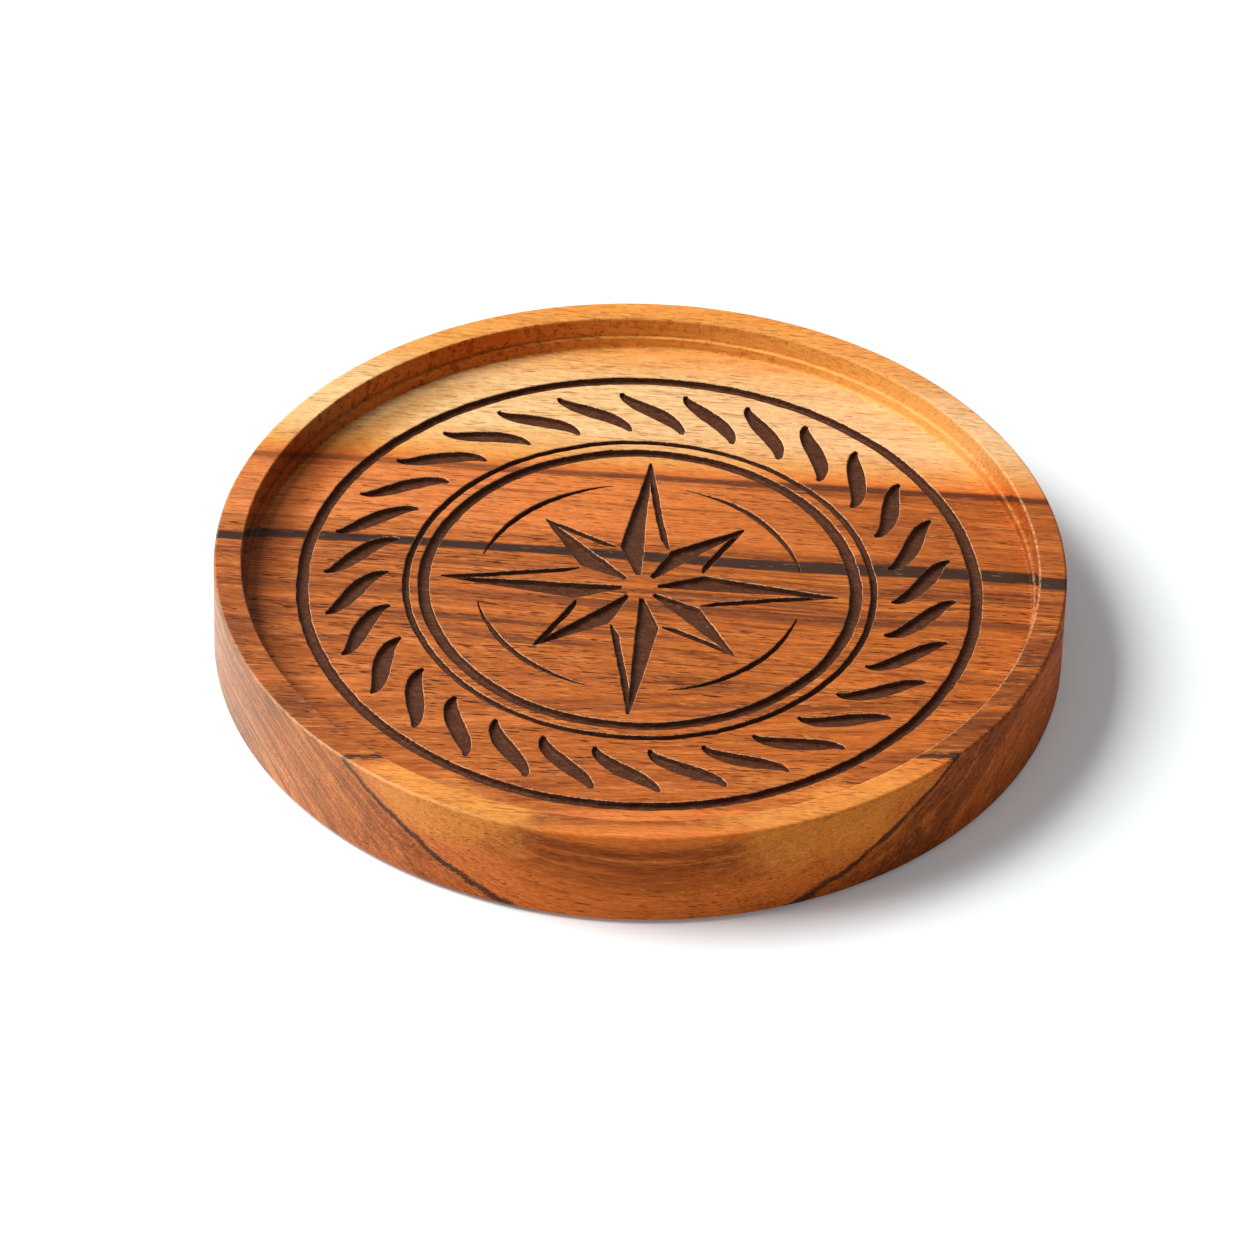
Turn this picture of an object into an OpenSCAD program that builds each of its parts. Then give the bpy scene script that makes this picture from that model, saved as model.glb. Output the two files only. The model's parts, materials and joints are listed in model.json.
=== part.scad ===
// Round wooden drink coaster: one turned board with a stepped recess for the glass,
// with an ornament carved into the recess floor, standing on four thin non-slip pads that are
// let into its underside.
// Millimetres, +Z up. The origin is the middle of the surface that the coaster stands on,
// and +X runs along the grain.

/* [Board] */
// Outside diameter of the board
board_d = 100; // [80:1:130]
// Thickness of the board
board_t = 12.4; // [10:0.1:18]
// Rounding of the outer top corner
top_rounding = 0.4; // [0.2:0.1:1]
// Rounding of the outer bottom corner
bottom_rounding = 0.6; // [0.2:0.1:1]

/* [Recess] */
// Width of the rim's flat top, with its roundings
rim_w = 3.3; // [2.5:0.1:8]
// Depth of the wide upper cut, which starts at the rim
upper_cut_depth = 2.6; // [2:0.1:3.5]
// Depth of the narrower lower cut, which ends at the recess floor
lower_cut_depth = 1.45; // [0.8:0.05:2]
// Width of the ledge between the two cuts
ledge_w = 0.5; // [0.3:0.1:1]
// Rounding of the rim's inner corner
rim_rounding = 0.3; // [0.1:0.1:1]
// Rounding of the ledge's corner
ledge_rounding = 0.15; // [0.1:0.05:0.25]
// Radius of the hollow corner around the recess floor
floor_fillet_r = 0.35; // [0.2:0.05:0.6]

/* [Carving] */
// Depth of the carved lines in the recess floor
carving_depth = 0.8; // [0.3:0.1:1.2]
// Plain floor between the recess wall and the outer ring
carving_margin = 5.9; // [2:0.1:10]
// Width of the bold rings
bold_line_w = 1.4; // [0.8:0.1:2]
// Width of the fine ring, the arcs and the star's edges
fine_line_w = 0.8; // [0.5:0.1:1.2]
// Floor left standing between the rings and the rope border
border_gap = 1.7; // [0.8:0.1:3]
// Width of the rope border, from the inner to the outer tips of its strands
rope_band_w = 7.6; // [5:0.1:10]
// Greatest width of one strand
strand_w = 2.1; // [1:0.1:2.4]
// Floor left standing between the two rings inside the rope border
ring_gap = 1; // [0.6:0.1:2]
// Floor left standing between the inner ring and the star's long points
star_gap = 1.3; // [0.6:0.1:4]
// Floor left standing between the star's strokes
stroke_gap = 0.3; // [0.2:0.1:0.5]
// Width of a stroke at its tip
tip_w = 0.3; // [0.2:0.1:0.4]
// Strands around the rope border
strand_count = 30; // [16:1:32]
// Angle by which a strand leans over on its way outwards
strand_lean_deg = 13; // [0:1:20]

/* [Feet] */
// Diameter of one pad
foot_d = 12; // [8:0.5:16]
// Thickness of one pad
foot_t = 1.5; // [1.3:0.1:2.5]
// Rounding of the pad's lower edge
foot_rounding = 0.25; // [0.1:0.05:0.5]
// Depth of the pocket that one pad is stuck into
pocket_depth = 1.2; // [0.8:0.1:1.3]
// Gap between a pad's side and its pocket
pocket_clearance = 0.15; // [0.1:0.05:0.5]
// Diameter of the circle on which the pads' centres lie
foot_circle_d = 74; // [50:1:78]

/* [Hidden] */
$fn = 128;
foot_count = 4;
foot_step_deg = 360 / foot_count;
foot_first_deg = -foot_step_deg / 2;
half_turn_deg = 180;
// How far a cutting shape runs past the surface that it cuts
overrun = 0.5;
board_r = board_d / 2;
// The pads hold the board clear of the table by what stands out of their pockets
board_z = foot_t - pocket_depth;
recess_depth = upper_cut_depth + lower_cut_depth;
floor_t = board_t - recess_depth;
ledge_t = board_t - upper_cut_depth;
upper_r = board_r - rim_w;
lower_r = upper_r - ledge_w;
pocket_r = foot_d / 2 + pocket_clearance;
// The ornament is laid out from the recess wall inwards
outer_ring_r = lower_r - carving_margin - bold_line_w / 2;
rope_outer_r = outer_ring_r - bold_line_w / 2 - border_gap;
rope_inner_r = rope_outer_r - rope_band_w;
fine_ring_r = rope_inner_r - border_gap - fine_line_w / 2;
inner_ring_r = fine_ring_r - fine_line_w / 2 - ring_gap - bold_line_w / 2;
star_r = inner_ring_r - bold_line_w / 2 - star_gap;
short_point_share = 0.71;
shoulder_share = 0.34;
hub_share = 0.09;
arc_share = 0.82;
arc_end_deg = 13;
star_points = 8;
star_step_deg = 360 / star_points;
quarter_deg = 90;
stroke_steps = 6;
// How wide a curved stroke is at its tips, and where the star's edge lines are at their full width
stroke_tip_share = 0.22;
full_width_shares = [0.12, 0.7];
small_share = 0.01;

// What a quarter round of radius r leaves of its square corner at the origin, drawn out past the corner
module corner_waste(r, past) {
    difference() {
        translate([-past, -past]) square(r + past);
        translate([r, r]) circle(r);
    }
}

// Half section of the board: X is the radius, Y is the height above its underside
module board_profile() {
    difference() {
        square([board_r, board_t]);
        translate([0, ledge_t]) square([upper_r, upper_cut_depth + overrun]);
        translate([0, floor_t]) square([lower_r, recess_depth]);
        translate([board_r, 0]) mirror([1, 0]) corner_waste(bottom_rounding, overrun);
        translate([board_r, board_t]) rotate(half_turn_deg) corner_waste(top_rounding, overrun);
        translate([upper_r, board_t]) mirror([0, 1]) corner_waste(rim_rounding, overrun);
        translate([lower_r, ledge_t]) mirror([0, 1]) corner_waste(ledge_rounding, 0);
    }
    translate([lower_r, floor_t]) mirror([1, 0]) corner_waste(floor_fillet_r, 0);
}

// Sets what it is given at each pad's place, or at one of them
module at_foot(index) {
    rotate(foot_first_deg + index * foot_step_deg) translate([foot_circle_d / 2, 0]) children();
}

// Half section of one carved ring, as board_profile
module ring_cut(ring_r, line_w) {
    translate([ring_r - line_w / 2, floor_t - carving_depth]) square([line_w, carving_depth + overrun]);
}

function polar(r, turn_deg) = [r * cos(turn_deg), r * sin(turn_deg)];

// From the share at both tips of a stroke to 1 in its middle, where t runs from 0 to 1
function swell(t) = stroke_tip_share + (1 - stroke_tip_share) * sin(half_turn_deg * t);

// The middle line of one strand of the rope border, a slanted S
function strand_spot(t) = polar(rope_inner_r + rope_band_w * t, strand_lean_deg * t * t * (3 - 2 * t));

function strand_edge(t, side) =
    let (along = strand_spot(t + small_share) - strand_spot(t - small_share))
    strand_spot(t) + side * strand_w / 2 * swell(t) * [-along[1], along[0]] / norm(along);

function arc_edge(t, side) =
    polar(
        star_r * arc_share + side * fine_line_w / 2 * swell(t),
        arc_end_deg + (quarter_deg - 2 * arc_end_deg) * t
    );

module strand() {
    polygon(concat(
        [for (step = [0 : stroke_steps]) strand_edge(step / stroke_steps, 1)],
        [for (step = [stroke_steps : -1 : 0]) strand_edge(step / stroke_steps, -1)]
    ));
}

module arc() {
    polygon(concat(
        [for (step = [0 : stroke_steps]) arc_edge(step / stroke_steps, 1)],
        [for (step = [stroke_steps : -1 : 0]) arc_edge(step / stroke_steps, -1)]
    ));
}

// One point of the star along +X: one half is carved away, the other is edged by a line
module star_point(reach) {
    hub_r = star_r * hub_share;
    shoulder = polar(star_r * shoulder_share, star_step_deg / 2);
    polygon([
        [hub_r, 0],
        [reach, 0],
        [reach, tip_w],
        shoulder - [0, stroke_gap],
        [hub_r, hub_r * tan(star_step_deg / 2) - stroke_gap]
    ]);
    start = [shoulder[0], -shoulder[1]];
    run = [reach, 0] - start;
    inward = [-run[1], run[0]] / norm(run);
    polygon([
        start,
        [reach, 0],
        [reach, 0] + inward * tip_w,
        start + run * full_width_shares[1] + inward * fine_line_w,
        start + run * full_width_shares[0] + inward * fine_line_w,
        start + inward * tip_w
    ]);
}

// The straight-walled solid that a flat stroke takes out of the recess floor
module carve() {
    translate([0, 0, board_z + floor_t - carving_depth]) linear_extrude(carving_depth + overrun) children();
}

module carving() {
    for (strand_index = [0 : strand_count - 1])
        rotate(strand_index * 2 * half_turn_deg / strand_count) carve() strand();
    for (quarter = [0 : 3])
        rotate(quarter * quarter_deg) carve() arc();
    for (point = [0 : star_points - 1])
        rotate(point * star_step_deg) carve() star_point(point % 2 == 0 ? star_r : star_r * short_point_share);
}

module board() {
    color("peru")
    difference() {
        translate([0, 0, board_z]) rotate_extrude()
            difference() {
                board_profile();
                ring_cut(outer_ring_r, bold_line_w);
                ring_cut(fine_ring_r, fine_line_w);
                ring_cut(inner_ring_r, bold_line_w);
            }
        carving();
        for (index = [0 : foot_count - 1])
            at_foot(index) translate([0, 0, board_z - overrun]) cylinder(h = pocket_depth + overrun, r = pocket_r);
    }
}

// Half section of one pad, which stands on Y = 0
module foot_profile() {
    difference() {
        square([foot_d / 2, foot_t]);
        translate([foot_d / 2, 0]) mirror([1, 0]) corner_waste(foot_rounding, overrun);
    }
}

module foot_pad(index) {
    color("dimgray") at_foot(index) rotate_extrude() foot_profile();
}

board();
foot_pad(0);  // foot_pad_front_right
foot_pad(1);  // foot_pad_rear_right
foot_pad(2);  // foot_pad_rear_left
foot_pad(3);  // foot_pad_front_left
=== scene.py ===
"""Dresses the round wooden drink coaster: a carved hardwood board that stands on four non-slip pads.

Lengths are in metres, in the frame of the packed part, and the grain of the board runs along +X.
Patterns are worked out in millimetres from Object coordinates.
"""

import collections
import json
import math

import bmesh
import bpy
from mathutils import Color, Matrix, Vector, noise


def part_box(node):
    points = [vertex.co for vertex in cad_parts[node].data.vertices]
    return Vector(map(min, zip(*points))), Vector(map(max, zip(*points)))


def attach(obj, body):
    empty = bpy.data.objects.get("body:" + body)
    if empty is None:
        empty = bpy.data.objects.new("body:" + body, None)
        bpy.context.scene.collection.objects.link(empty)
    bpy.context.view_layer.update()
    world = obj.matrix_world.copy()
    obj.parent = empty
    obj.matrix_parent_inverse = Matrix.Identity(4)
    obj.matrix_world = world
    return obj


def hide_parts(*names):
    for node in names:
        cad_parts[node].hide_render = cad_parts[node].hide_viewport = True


bl_info = {
    "name": "Wooden Drink Coaster",
    "version": (1, 0, 0),
    "blender": (4, 5, 0),
    "location": "View3D > Sidebar > Coaster",
    "description": "Models and finishes a round wooden drink coaster with a carved recess",
    "category": "Add Mesh",
}

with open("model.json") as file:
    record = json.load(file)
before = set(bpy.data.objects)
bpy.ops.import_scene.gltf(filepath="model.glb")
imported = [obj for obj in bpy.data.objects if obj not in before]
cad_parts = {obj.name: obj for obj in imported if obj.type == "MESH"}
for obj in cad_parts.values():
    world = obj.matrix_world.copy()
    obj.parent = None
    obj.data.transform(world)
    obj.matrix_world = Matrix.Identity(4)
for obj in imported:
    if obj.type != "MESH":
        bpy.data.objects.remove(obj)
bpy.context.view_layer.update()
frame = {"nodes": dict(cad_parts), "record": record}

MM = 0.001
MM_PER_M = 1000.0
BRIGHTEST = 255
BODY = "root"
PAD_NODES = sorted(name for name in frame["nodes"] if name.startswith("foot_pad"))

# Fineness of the round shapes, and the sharpest edge that is shaded smooth
ROUND_FLATS = 96
CORNER_SEGMENTS = 4
LEDGE_SEGMENTS = 2
QUARTER_CIRCLE_PROFILE = 0.5
CREASE = math.radians(35)

# How near to a corner its vertices lie, as a share of the rounding that it gets
CORNER_MATCH_SHARE = 0.25

# The least share of a piece that a cut may leave
LEAST_LEFT_SHARE = 0.9

# How far a drill runs past the surface that it enters
OVERRUN = MM

# Frayed corners: their reach as a share of the rounding, the pitch of the fraying, how much of it is left
# away from the back, and the second noise that goes over it, finer and weaker
FRAY_REACH_SHARE = 1.2
FRAY_PITCH = 0.9 * MM
FRAY_FRONT_SHARE = 0.35
FRAY_FINER = 2.3
FRAY_FINER_SHARE = 0.6

# The ornament's drawing, as shares of the star's reach, of a stroke's width and of its length
STAR_POINTS = 8
STAR_STEP = 2 * math.pi / STAR_POINTS
SHORT_POINT_SHARE = 0.71
SHOULDER_SHARE = 0.34
HUB_SHARE = 0.09
ARC_SHARE = 0.82
ARC_END = math.radians(13)
STROKE_TIP_SHARE = 0.22
FULL_WIDTH_SHARES = (0.12, 0.7)
SMALL_SHARE = 0.01

# A strand is longer than the rope border is wide, and no stroke has fewer sections than this
STRAND_RUN_SHARE = 1.5
FEWEST_SECTIONS = 8

# A carved line's section: the turns of its roundings, the share of the depth that a hair line keeps, the
# hollow and the wall's lean as shares of the half width, and how many lips high the cutter stands out
ROUNDING_TURNS = [math.radians(degrees) for degrees in (0, 30, 60, 90)]
SHALLOWEST_SHARE = 0.35
HOLLOW_SHARE = 0.6
WALL_LEAN_SHARE = 0.1
LIPS_ABOVE = 3

# The carver's hand: a seed, without which each run would carve another line, the pitches of its slow
# drift, its finer shake and the uneven bottom, how much more the drift does than the shake, and the levels
# of the noise field that the last two are read at
HAND_SEED = 7
DRIFT_PITCH = 7 * MM
SHAKE_PITCH = 1.1 * MM
UNEVEN_PITCH = 0.9 * MM
DRIFT_SHARE = 1.3
SHAKE_LEVEL = MM
UNEVEN_LEVEL = 2 * MM

# Node trees: the distance between nodes, the sockets of a Mix node that mixes colours, and group sockets
NODE_STEP = 180
COLOUR_MIX_INPUTS = (0, 6, 7)
COLOUR_MIX_OUTPUT = 2
FLOAT = "NodeSocketFloat"
VECTOR = "NodeSocketVector"

# Places of the packed part that sizes below come from
MOUNTS = {mount["name"]: mount for mount in frame["record"]["mounts"]}
floor_height = MOUNTS["recess_floor"]["pos_m"][2]
seat_radius = MOUNTS["recess"]["dims"]["r_mm"] * MM
board_low, board_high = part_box("board")
pad_low, pad_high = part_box(PAD_NODES[0])


def tone(red, green, blue):
    """A colour as it looks on screen, each part from 0 to 255, as the linear colour that nodes take."""
    seen = Color((red / BRIGHTEST, green / BRIGHTEST, blue / BRIGHTEST))
    return tuple(seen.from_srgb_to_scene_linear())


def length(name, description, default):
    """A length setting."""
    return bpy.props.FloatProperty(
        name=name, description=description, default=default, unit="LENGTH", precision=5
    )


def colour(name, description, default):
    """A colour setting."""
    return bpy.props.FloatVectorProperty(
        name=name, description=description, default=default, subtype="COLOR", size=3, min=0, max=1
    )


def angle(name, description, degrees):
    """An angle setting, given in degrees."""
    return bpy.props.FloatProperty(
        name=name, description=description, default=math.radians(degrees), subtype="ANGLE"
    )


def number(name, description, default):
    """A setting that is a plain number."""
    return bpy.props.FloatProperty(name=name, description=description, default=default)


def whole_number(name, description, default, least):
    """A setting that is a whole number, with the least that it can be."""
    return bpy.props.IntProperty(name=name, description=description, default=default, min=least)


class BoardSizes(bpy.types.PropertyGroup):
    """Sizes of the turned board."""

    radius: length("Radius", "Outside radius of the board", board_high.x)
    underside: length("Underside", "Height of the board's underside over the table", board_low.z)
    top: length("Top", "Height of the rim over the table", board_high.z)
    rim_width: length("Rim Width", "Width of the flat rim, with its rounded corners", 3.3 * MM)
    upper_depth: length("Upper Cut", "Depth of the wide upper cut of the recess", 2.6 * MM)
    floor: length("Recess Floor", "Height of the recess floor over the table", floor_height)
    seat_radius: length("Seat Radius", "Radius of the lower cut", seat_radius)
    top_rounding: length("Top Corner", "Rounding of the outer top corner", 0.4 * MM)
    bottom_rounding: length("Bottom Corner", "Rounding of the outer bottom corner", 0.6 * MM)
    rim_rounding: length("Inner Corner", "Rounding of the rim's inner corner", 0.3 * MM)
    ledge_rounding: length("Ledge Corner", "Rounding of the ledge between the two cuts", 0.15 * MM)
    floor_fillet: length("Floor Fillet", "Radius of the hollow corner around the recess floor", 0.35 * MM)
    pocket_gap: length("Pocket Gap", "Gap between a pad's side and its pocket", 0.15 * MM)
    tear: length("Torn Edge", "How far the cutter frayed the rim's inner corner", 0.07 * MM)
    steps: whole_number("Steps", "Flats around the board", 600, 64)


class CarvingSizes(bpy.types.PropertyGroup):
    """Sizes of the ornament that is carved into the recess floor."""

    depth: length("Depth", "Depth of the carved lines", 0.8 * MM)
    margin: length("Margin", "Plain floor between the recess wall and the outer ring", 5.9 * MM)
    bold_line: length("Bold Line", "Width of the bold rings", 1.4 * MM)
    fine_line: length("Fine Line", "Width of the fine ring, the arcs and the star's edges", 0.8 * MM)
    border_gap: length("Border Gap", "Floor between the rings and the rope border", 1.7 * MM)
    rope_band: length("Rope Band", "Width of the rope border", 7.6 * MM)
    strand_width: length("Strand Width", "Greatest width of one strand", 2.1 * MM)
    ring_gap: length("Ring Gap", "Floor between the two rings inside the rope border", 1.0 * MM)
    star_gap: length("Star Gap", "Floor between the inner ring and the star's long points", 1.3 * MM)
    stroke_gap: length("Stroke Gap", "Floor left standing between the star's strokes", 0.3 * MM)
    tip: length("Tip", "Width of a stroke at its tip", 0.3 * MM)
    strands: whole_number("Strands", "Strands around the rope border", 30, 8)
    lean: angle("Lean", "Angle by which a strand leans over on its way outwards", 13)
    lip: length("Lip", "Rounding along the top of a carved line", 0.15 * MM)
    hollow: length("Hollow", "Rounding along the bottom of a carved line", 0.2 * MM)
    full_depth_at: length("Full Depth At", "Half width from which a line gets its full depth", 0.45 * MM)
    pitch: length("Pitch", "Distance between the sections of a carved line", 0.5 * MM)
    waver: length("Waver", "How far the carver's hand strays from the drawn line", 0.09 * MM)
    unevenness: length("Unevenness", "How far the bottom of a line goes up and down", 0.12 * MM)


class WoodColours(bpy.types.PropertyGroup):
    """Colours of the board."""

    sapwood: colour("Sapwood", "The palest wood", tone(251, 206, 143))
    honey: colour("Honey", "Warm wood near the bark side", tone(240, 168, 88))
    amber: colour("Amber", "Golden brown patches", tone(244, 160, 72))
    orange: colour("Orange", "Wood between the stripe and the sapwood", tone(229, 129, 56))
    russet: colour("Russet", "The lighter heartwood", tone(190, 102, 37))
    heartwood: colour("Heartwood", "The common heartwood", tone(160, 82, 30))
    umber: colour("Umber", "Brown streaks in the heartwood", tone(98, 48, 24))
    stripe: colour("Stripe", "The near-black stripe", tone(54, 34, 22))
    pore: colour("Pore", "The open pores", tone(56, 26, 14))
    char: colour("Char", "Burnt wood in the carved lines", tone(80, 43, 25))
    ash: colour("Ash", "Lighter flecks on the burnt wood", tone(122, 76, 48))
    soaked: colour("Soaked", "What the oil in the walls leaves of their colour", (0.95, 0.82, 0.55))
    # Painted shade: this colour and the next darken the left of the recess wall, which the main light leaves
    # in shade
    tears_and_shade: colour("Torn", "What the torn fibres of the recess wall leave of its colour", (0.74, 0.42, 0.2))
    deepest_wall_shade: colour("Dusky", "What the left end of the recess wall leaves of its colour", (0.53, 0.46, 0.35))
    # Painted shadow: darkens the floor beside the recess wall at the left, where the wall's shadow falls
    painted_floor_shadow: colour("Pooled", "What old oil at the left leaves of the floor's colour", (0.66, 0.55, 0.4))
    # Painted shade and sheen: greys and darkens the far left of the outer wall
    painted_far_left_shade: colour("Weathered", "What wear leaves of the colour at the far left", (0.77, 0.84, 0.88))
    # Painted light: brightens the back right of the recess wall, where the main light falls on it
    painted_wall_light: colour("Lit", "The recess wall at the back right, where the wood is brightest", tone(255, 190, 98))
    # Also painted highlight: on the rubbed corners and the carved lips this colour stands in for the light
    # that they catch
    pale_fibre_and_highlight: colour("Fresh", "Frayed and rubbed fibres at the corners", tone(250, 206, 158))


class PadFinish(bpy.types.PropertyGroup):
    """Size and colour of the pads."""

    radius: length("Radius", "Radius of a pad", (pad_high.x - pad_low.x) / 2)
    height: length("Height", "Thickness of a pad", pad_high.z - pad_low.z)
    rounding: length("Rounding", "Rounding of the pad's lower edge", 0.25 * MM)
    rubber: colour("Rubber", "Colour of the pads", tone(46, 43, 41))
    dust: colour("Dust", "Fine dust held by the pads", tone(104, 96, 88))


class StudioSettings(bpy.types.PropertyGroup):
    """Camera and lights."""

    lens: number("Lens", "Focal length in millimetres", 229.67)
    distance: length("Distance", "From the camera to the middle of the coaster", 945.5 * MM)
    turn: angle("Turn", "Turn of the camera round the coaster", 2.65)
    tilt: angle("Tilt", "Angle of the view over the table", 39.38)
    roll: angle("Roll", "Turn of the camera about its own axis", 1.77)
    aside: length("Aside", "Shift of the camera to its right", -1.35 * MM)
    above: length("Above", "Shift of the camera upwards", 1.88 * MM)
    floor_size: length("Floor Size", "Side of the floor", 4.0)
    key_power: number("Key", "Power of the main light in watts", 27.5)
    key_size: length("Key Size", "Side of the main light", 0.8)
    key_distance: length("Key Distance", "From the main light to the coaster", 1.5)
    key_turn: angle("Key Turn", "Where the main light stands round the coaster, from +X towards +Y", 177)
    key_tilt: angle("Key Tilt", "Height of the main light over the table", 50)
    card_power: number("Card", "Power of the low light in watts", 0.5)
    card_size: length("Card Size", "Side of the low light", 0.5)
    card_distance: length("Card Distance", "From the low light to the coaster", 0.8)
    card_turn: angle("Card Turn", "Where the low light stands round the coaster", 188)
    card_tilt: angle("Card Tilt", "Height of the low light over the table", 20)
    top_power: number("Top", "Power of the overhead light in watts", 0.7)
    top_size: length("Top Size", "Side of the overhead light", 0.8)
    top_distance: length("Top Distance", "From the overhead light to the coaster", 1.2)
    ambient: number("Ambient", "Strength of the light all around", 0.125)
    floor_lift: number("Floor Lift", "Glow that whitens the seen floor", 0.13)


def active():
    """The object that the last operator made or changed."""
    return bpy.context.view_layer.objects.active


def only(piece):
    """Selects one piece and nothing else, and makes it the active one."""
    bpy.ops.object.select_all(action="DESELECT")
    piece.select_set(True)
    bpy.context.view_layer.objects.active = piece


def edit(piece, kind="FACE"):
    """Starts editing a piece, with faces, edges or vertices as what is selected."""
    only(piece)
    bpy.ops.object.mode_set(mode="EDIT")
    bpy.ops.mesh.select_mode(type=kind)


def done():
    """Ends editing."""
    bpy.ops.object.mode_set(mode="OBJECT")


def push(height):
    """Extrudes what is selected along Z."""
    bpy.ops.mesh.extrude_region_move(TRANSFORM_OT_translate={"value": (0, 0, height)})


def settle(piece):
    """Puts the piece's place and turn into its mesh."""
    only(piece)
    bpy.ops.object.transform_apply(location=True, rotation=True, scale=True)


def volume(mesh_data):
    """The volume that a closed mesh holds."""
    mesh = bmesh.new()
    mesh.from_mesh(mesh_data)
    held = mesh.calc_volume(signed=True)
    mesh.free()
    return held


def cut(piece, cutter):
    """Takes the cutter out of the piece and removes it. A cut that spoils the piece stops the script."""
    before = volume(piece.data)
    only(piece)
    bpy.ops.object.modifier_add(type="BOOLEAN")
    modifier = piece.modifiers[-1]
    modifier.operation = "DIFFERENCE"
    modifier.solver = "EXACT"
    modifier.object = cutter
    bpy.ops.object.modifier_apply(modifier=modifier.name)
    if not before * LEAST_LEFT_SHARE < volume(piece.data) < before:
        raise RuntimeError(f"A cut has spoiled {piece.name}")
    bpy.data.objects.remove(cutter)


def finish_surface(piece, crease):
    """Smooths the piece over every edge flatter than crease, and keeps its flats flat."""
    only(piece)
    bpy.ops.object.shade_smooth_by_angle(angle=crease)
    bpy.ops.object.modifier_add(type="WEIGHTED_NORMAL")
    modifier = piece.modifiers[-1]
    modifier.keep_sharp = True
    bpy.ops.object.modifier_apply(modifier=modifier.name)


def register_piece(piece, material, slot, *nodes):
    """Gives the piece its material and its body, and hides the parts of the frame that it stands for."""
    piece.data.materials.clear()
    piece.data.materials.append(material)
    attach(piece, BODY)
    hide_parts(*nodes)


def round_edges(piece, chosen, rounding, segments):
    """Rounds every edge whose two ends pass the test chosen."""
    edit(piece, "EDGE")
    bpy.ops.mesh.select_all(action="DESELECT")
    mesh = bmesh.from_edit_mesh(piece.data)
    for edge in mesh.edges:
        edge.select_set(all(chosen(vertex.co) for vertex in edge.verts))
    bmesh.update_edit_mesh(piece.data)
    bpy.ops.mesh.bevel(offset=rounding, segments=segments, profile=QUARTER_CIRCLE_PROFILE, affect="EDGES")
    done()


def round_corner(board, radius, height, rounding, segments=CORNER_SEGMENTS):
    """Rounds the circular corner that lies at this radius and height."""
    reach = rounding * CORNER_MATCH_SHARE

    def on_corner(spot):
        return abs(spot.z - height) < reach and abs(spot.xy.length - radius) < reach

    round_edges(board, on_corner, rounding, segments)


def turn_board(sizes):
    """The plain turned board with its stepped recess."""
    bpy.ops.object.select_all(action="DESELECT")
    bpy.ops.mesh.primitive_circle_add(
        vertices=sizes.steps, radius=sizes.radius, fill_type="NGON", location=(0, 0, sizes.underside)
    )
    board = active()
    board.name = "carved_board"
    settle(board)
    rim_inner = sizes.radius - sizes.rim_width
    ledge = sizes.top - sizes.upper_depth
    edit(board)
    bpy.ops.mesh.select_all(action="SELECT")
    push(sizes.top - sizes.underside)
    bpy.ops.mesh.inset(thickness=sizes.rim_width, use_even_offset=True)
    push(-sizes.upper_depth)
    bpy.ops.mesh.inset(thickness=rim_inner - sizes.seat_radius, use_even_offset=True)
    push(sizes.floor - ledge)
    bpy.ops.mesh.select_all(action="SELECT")
    bpy.ops.mesh.normals_make_consistent(inside=False)
    done()
    round_corner(board, sizes.radius, sizes.top, sizes.top_rounding)
    round_corner(board, sizes.radius, sizes.underside, sizes.bottom_rounding)
    round_corner(board, rim_inner, sizes.top, sizes.rim_rounding)
    round_corner(board, sizes.seat_radius, ledge, sizes.ledge_rounding, LEDGE_SEGMENTS)
    round_corner(board, sizes.seat_radius, sizes.floor, sizes.floor_fillet)
    return board


def fray(board, sizes):
    """Roughens the corners of the recess, most of all at the back, where the cutter tore the fibres."""
    rim_inner = sizes.radius - sizes.rim_width
    reach = sizes.rim_rounding * FRAY_REACH_SHARE
    corners = [(rim_inner, sizes.top), (sizes.seat_radius, sizes.top - sizes.upper_depth)]
    for vertex in board.data.vertices:
        spot = vertex.co
        radius = spot.xy.length
        near = max(1 - math.hypot(radius - r, spot.z - z) / reach for r, z in corners)
        if near <= 0:
            continue
        behind = FRAY_FRONT_SHARE + (1 - FRAY_FRONT_SHARE) * max(0.0, spot.y / radius)
        grid = spot / FRAY_PITCH
        wander = noise.noise(grid) + FRAY_FINER_SHARE * noise.noise(grid * FRAY_FINER)
        outward = Vector((spot.x, spot.y, 0)) / radius
        vertex.co = spot + outward * (wander * near * behind * sizes.tear)
        vertex.co.z = min(vertex.co.z, sizes.top)


def drill_pockets(board, sizes, pad):
    """Drills the blind pocket of each pad into the underside."""
    bottom = sizes.underside - OVERRUN
    for name in PAD_NODES:
        low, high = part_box(name)
        middle = (low + high) / 2
        bpy.ops.object.select_all(action="DESELECT")
        bpy.ops.mesh.primitive_cylinder_add(
            vertices=ROUND_FLATS,
            radius=pad.radius + sizes.pocket_gap,
            depth=high.z - bottom,
            location=(middle.x, middle.y, (high.z + bottom) / 2),
        )
        cut(board, active())


def polar(radius, turn):
    """The point at this radius and angle in the floor's plane."""
    return Vector((radius * math.cos(turn), radius * math.sin(turn)))


def swell(share):
    """From STROKE_TIP_SHARE at both tips of a stroke to 1 in its middle."""
    return STROKE_TIP_SHARE + (1 - STROKE_TIP_SHARE) * math.sin(math.pi * share)


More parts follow.
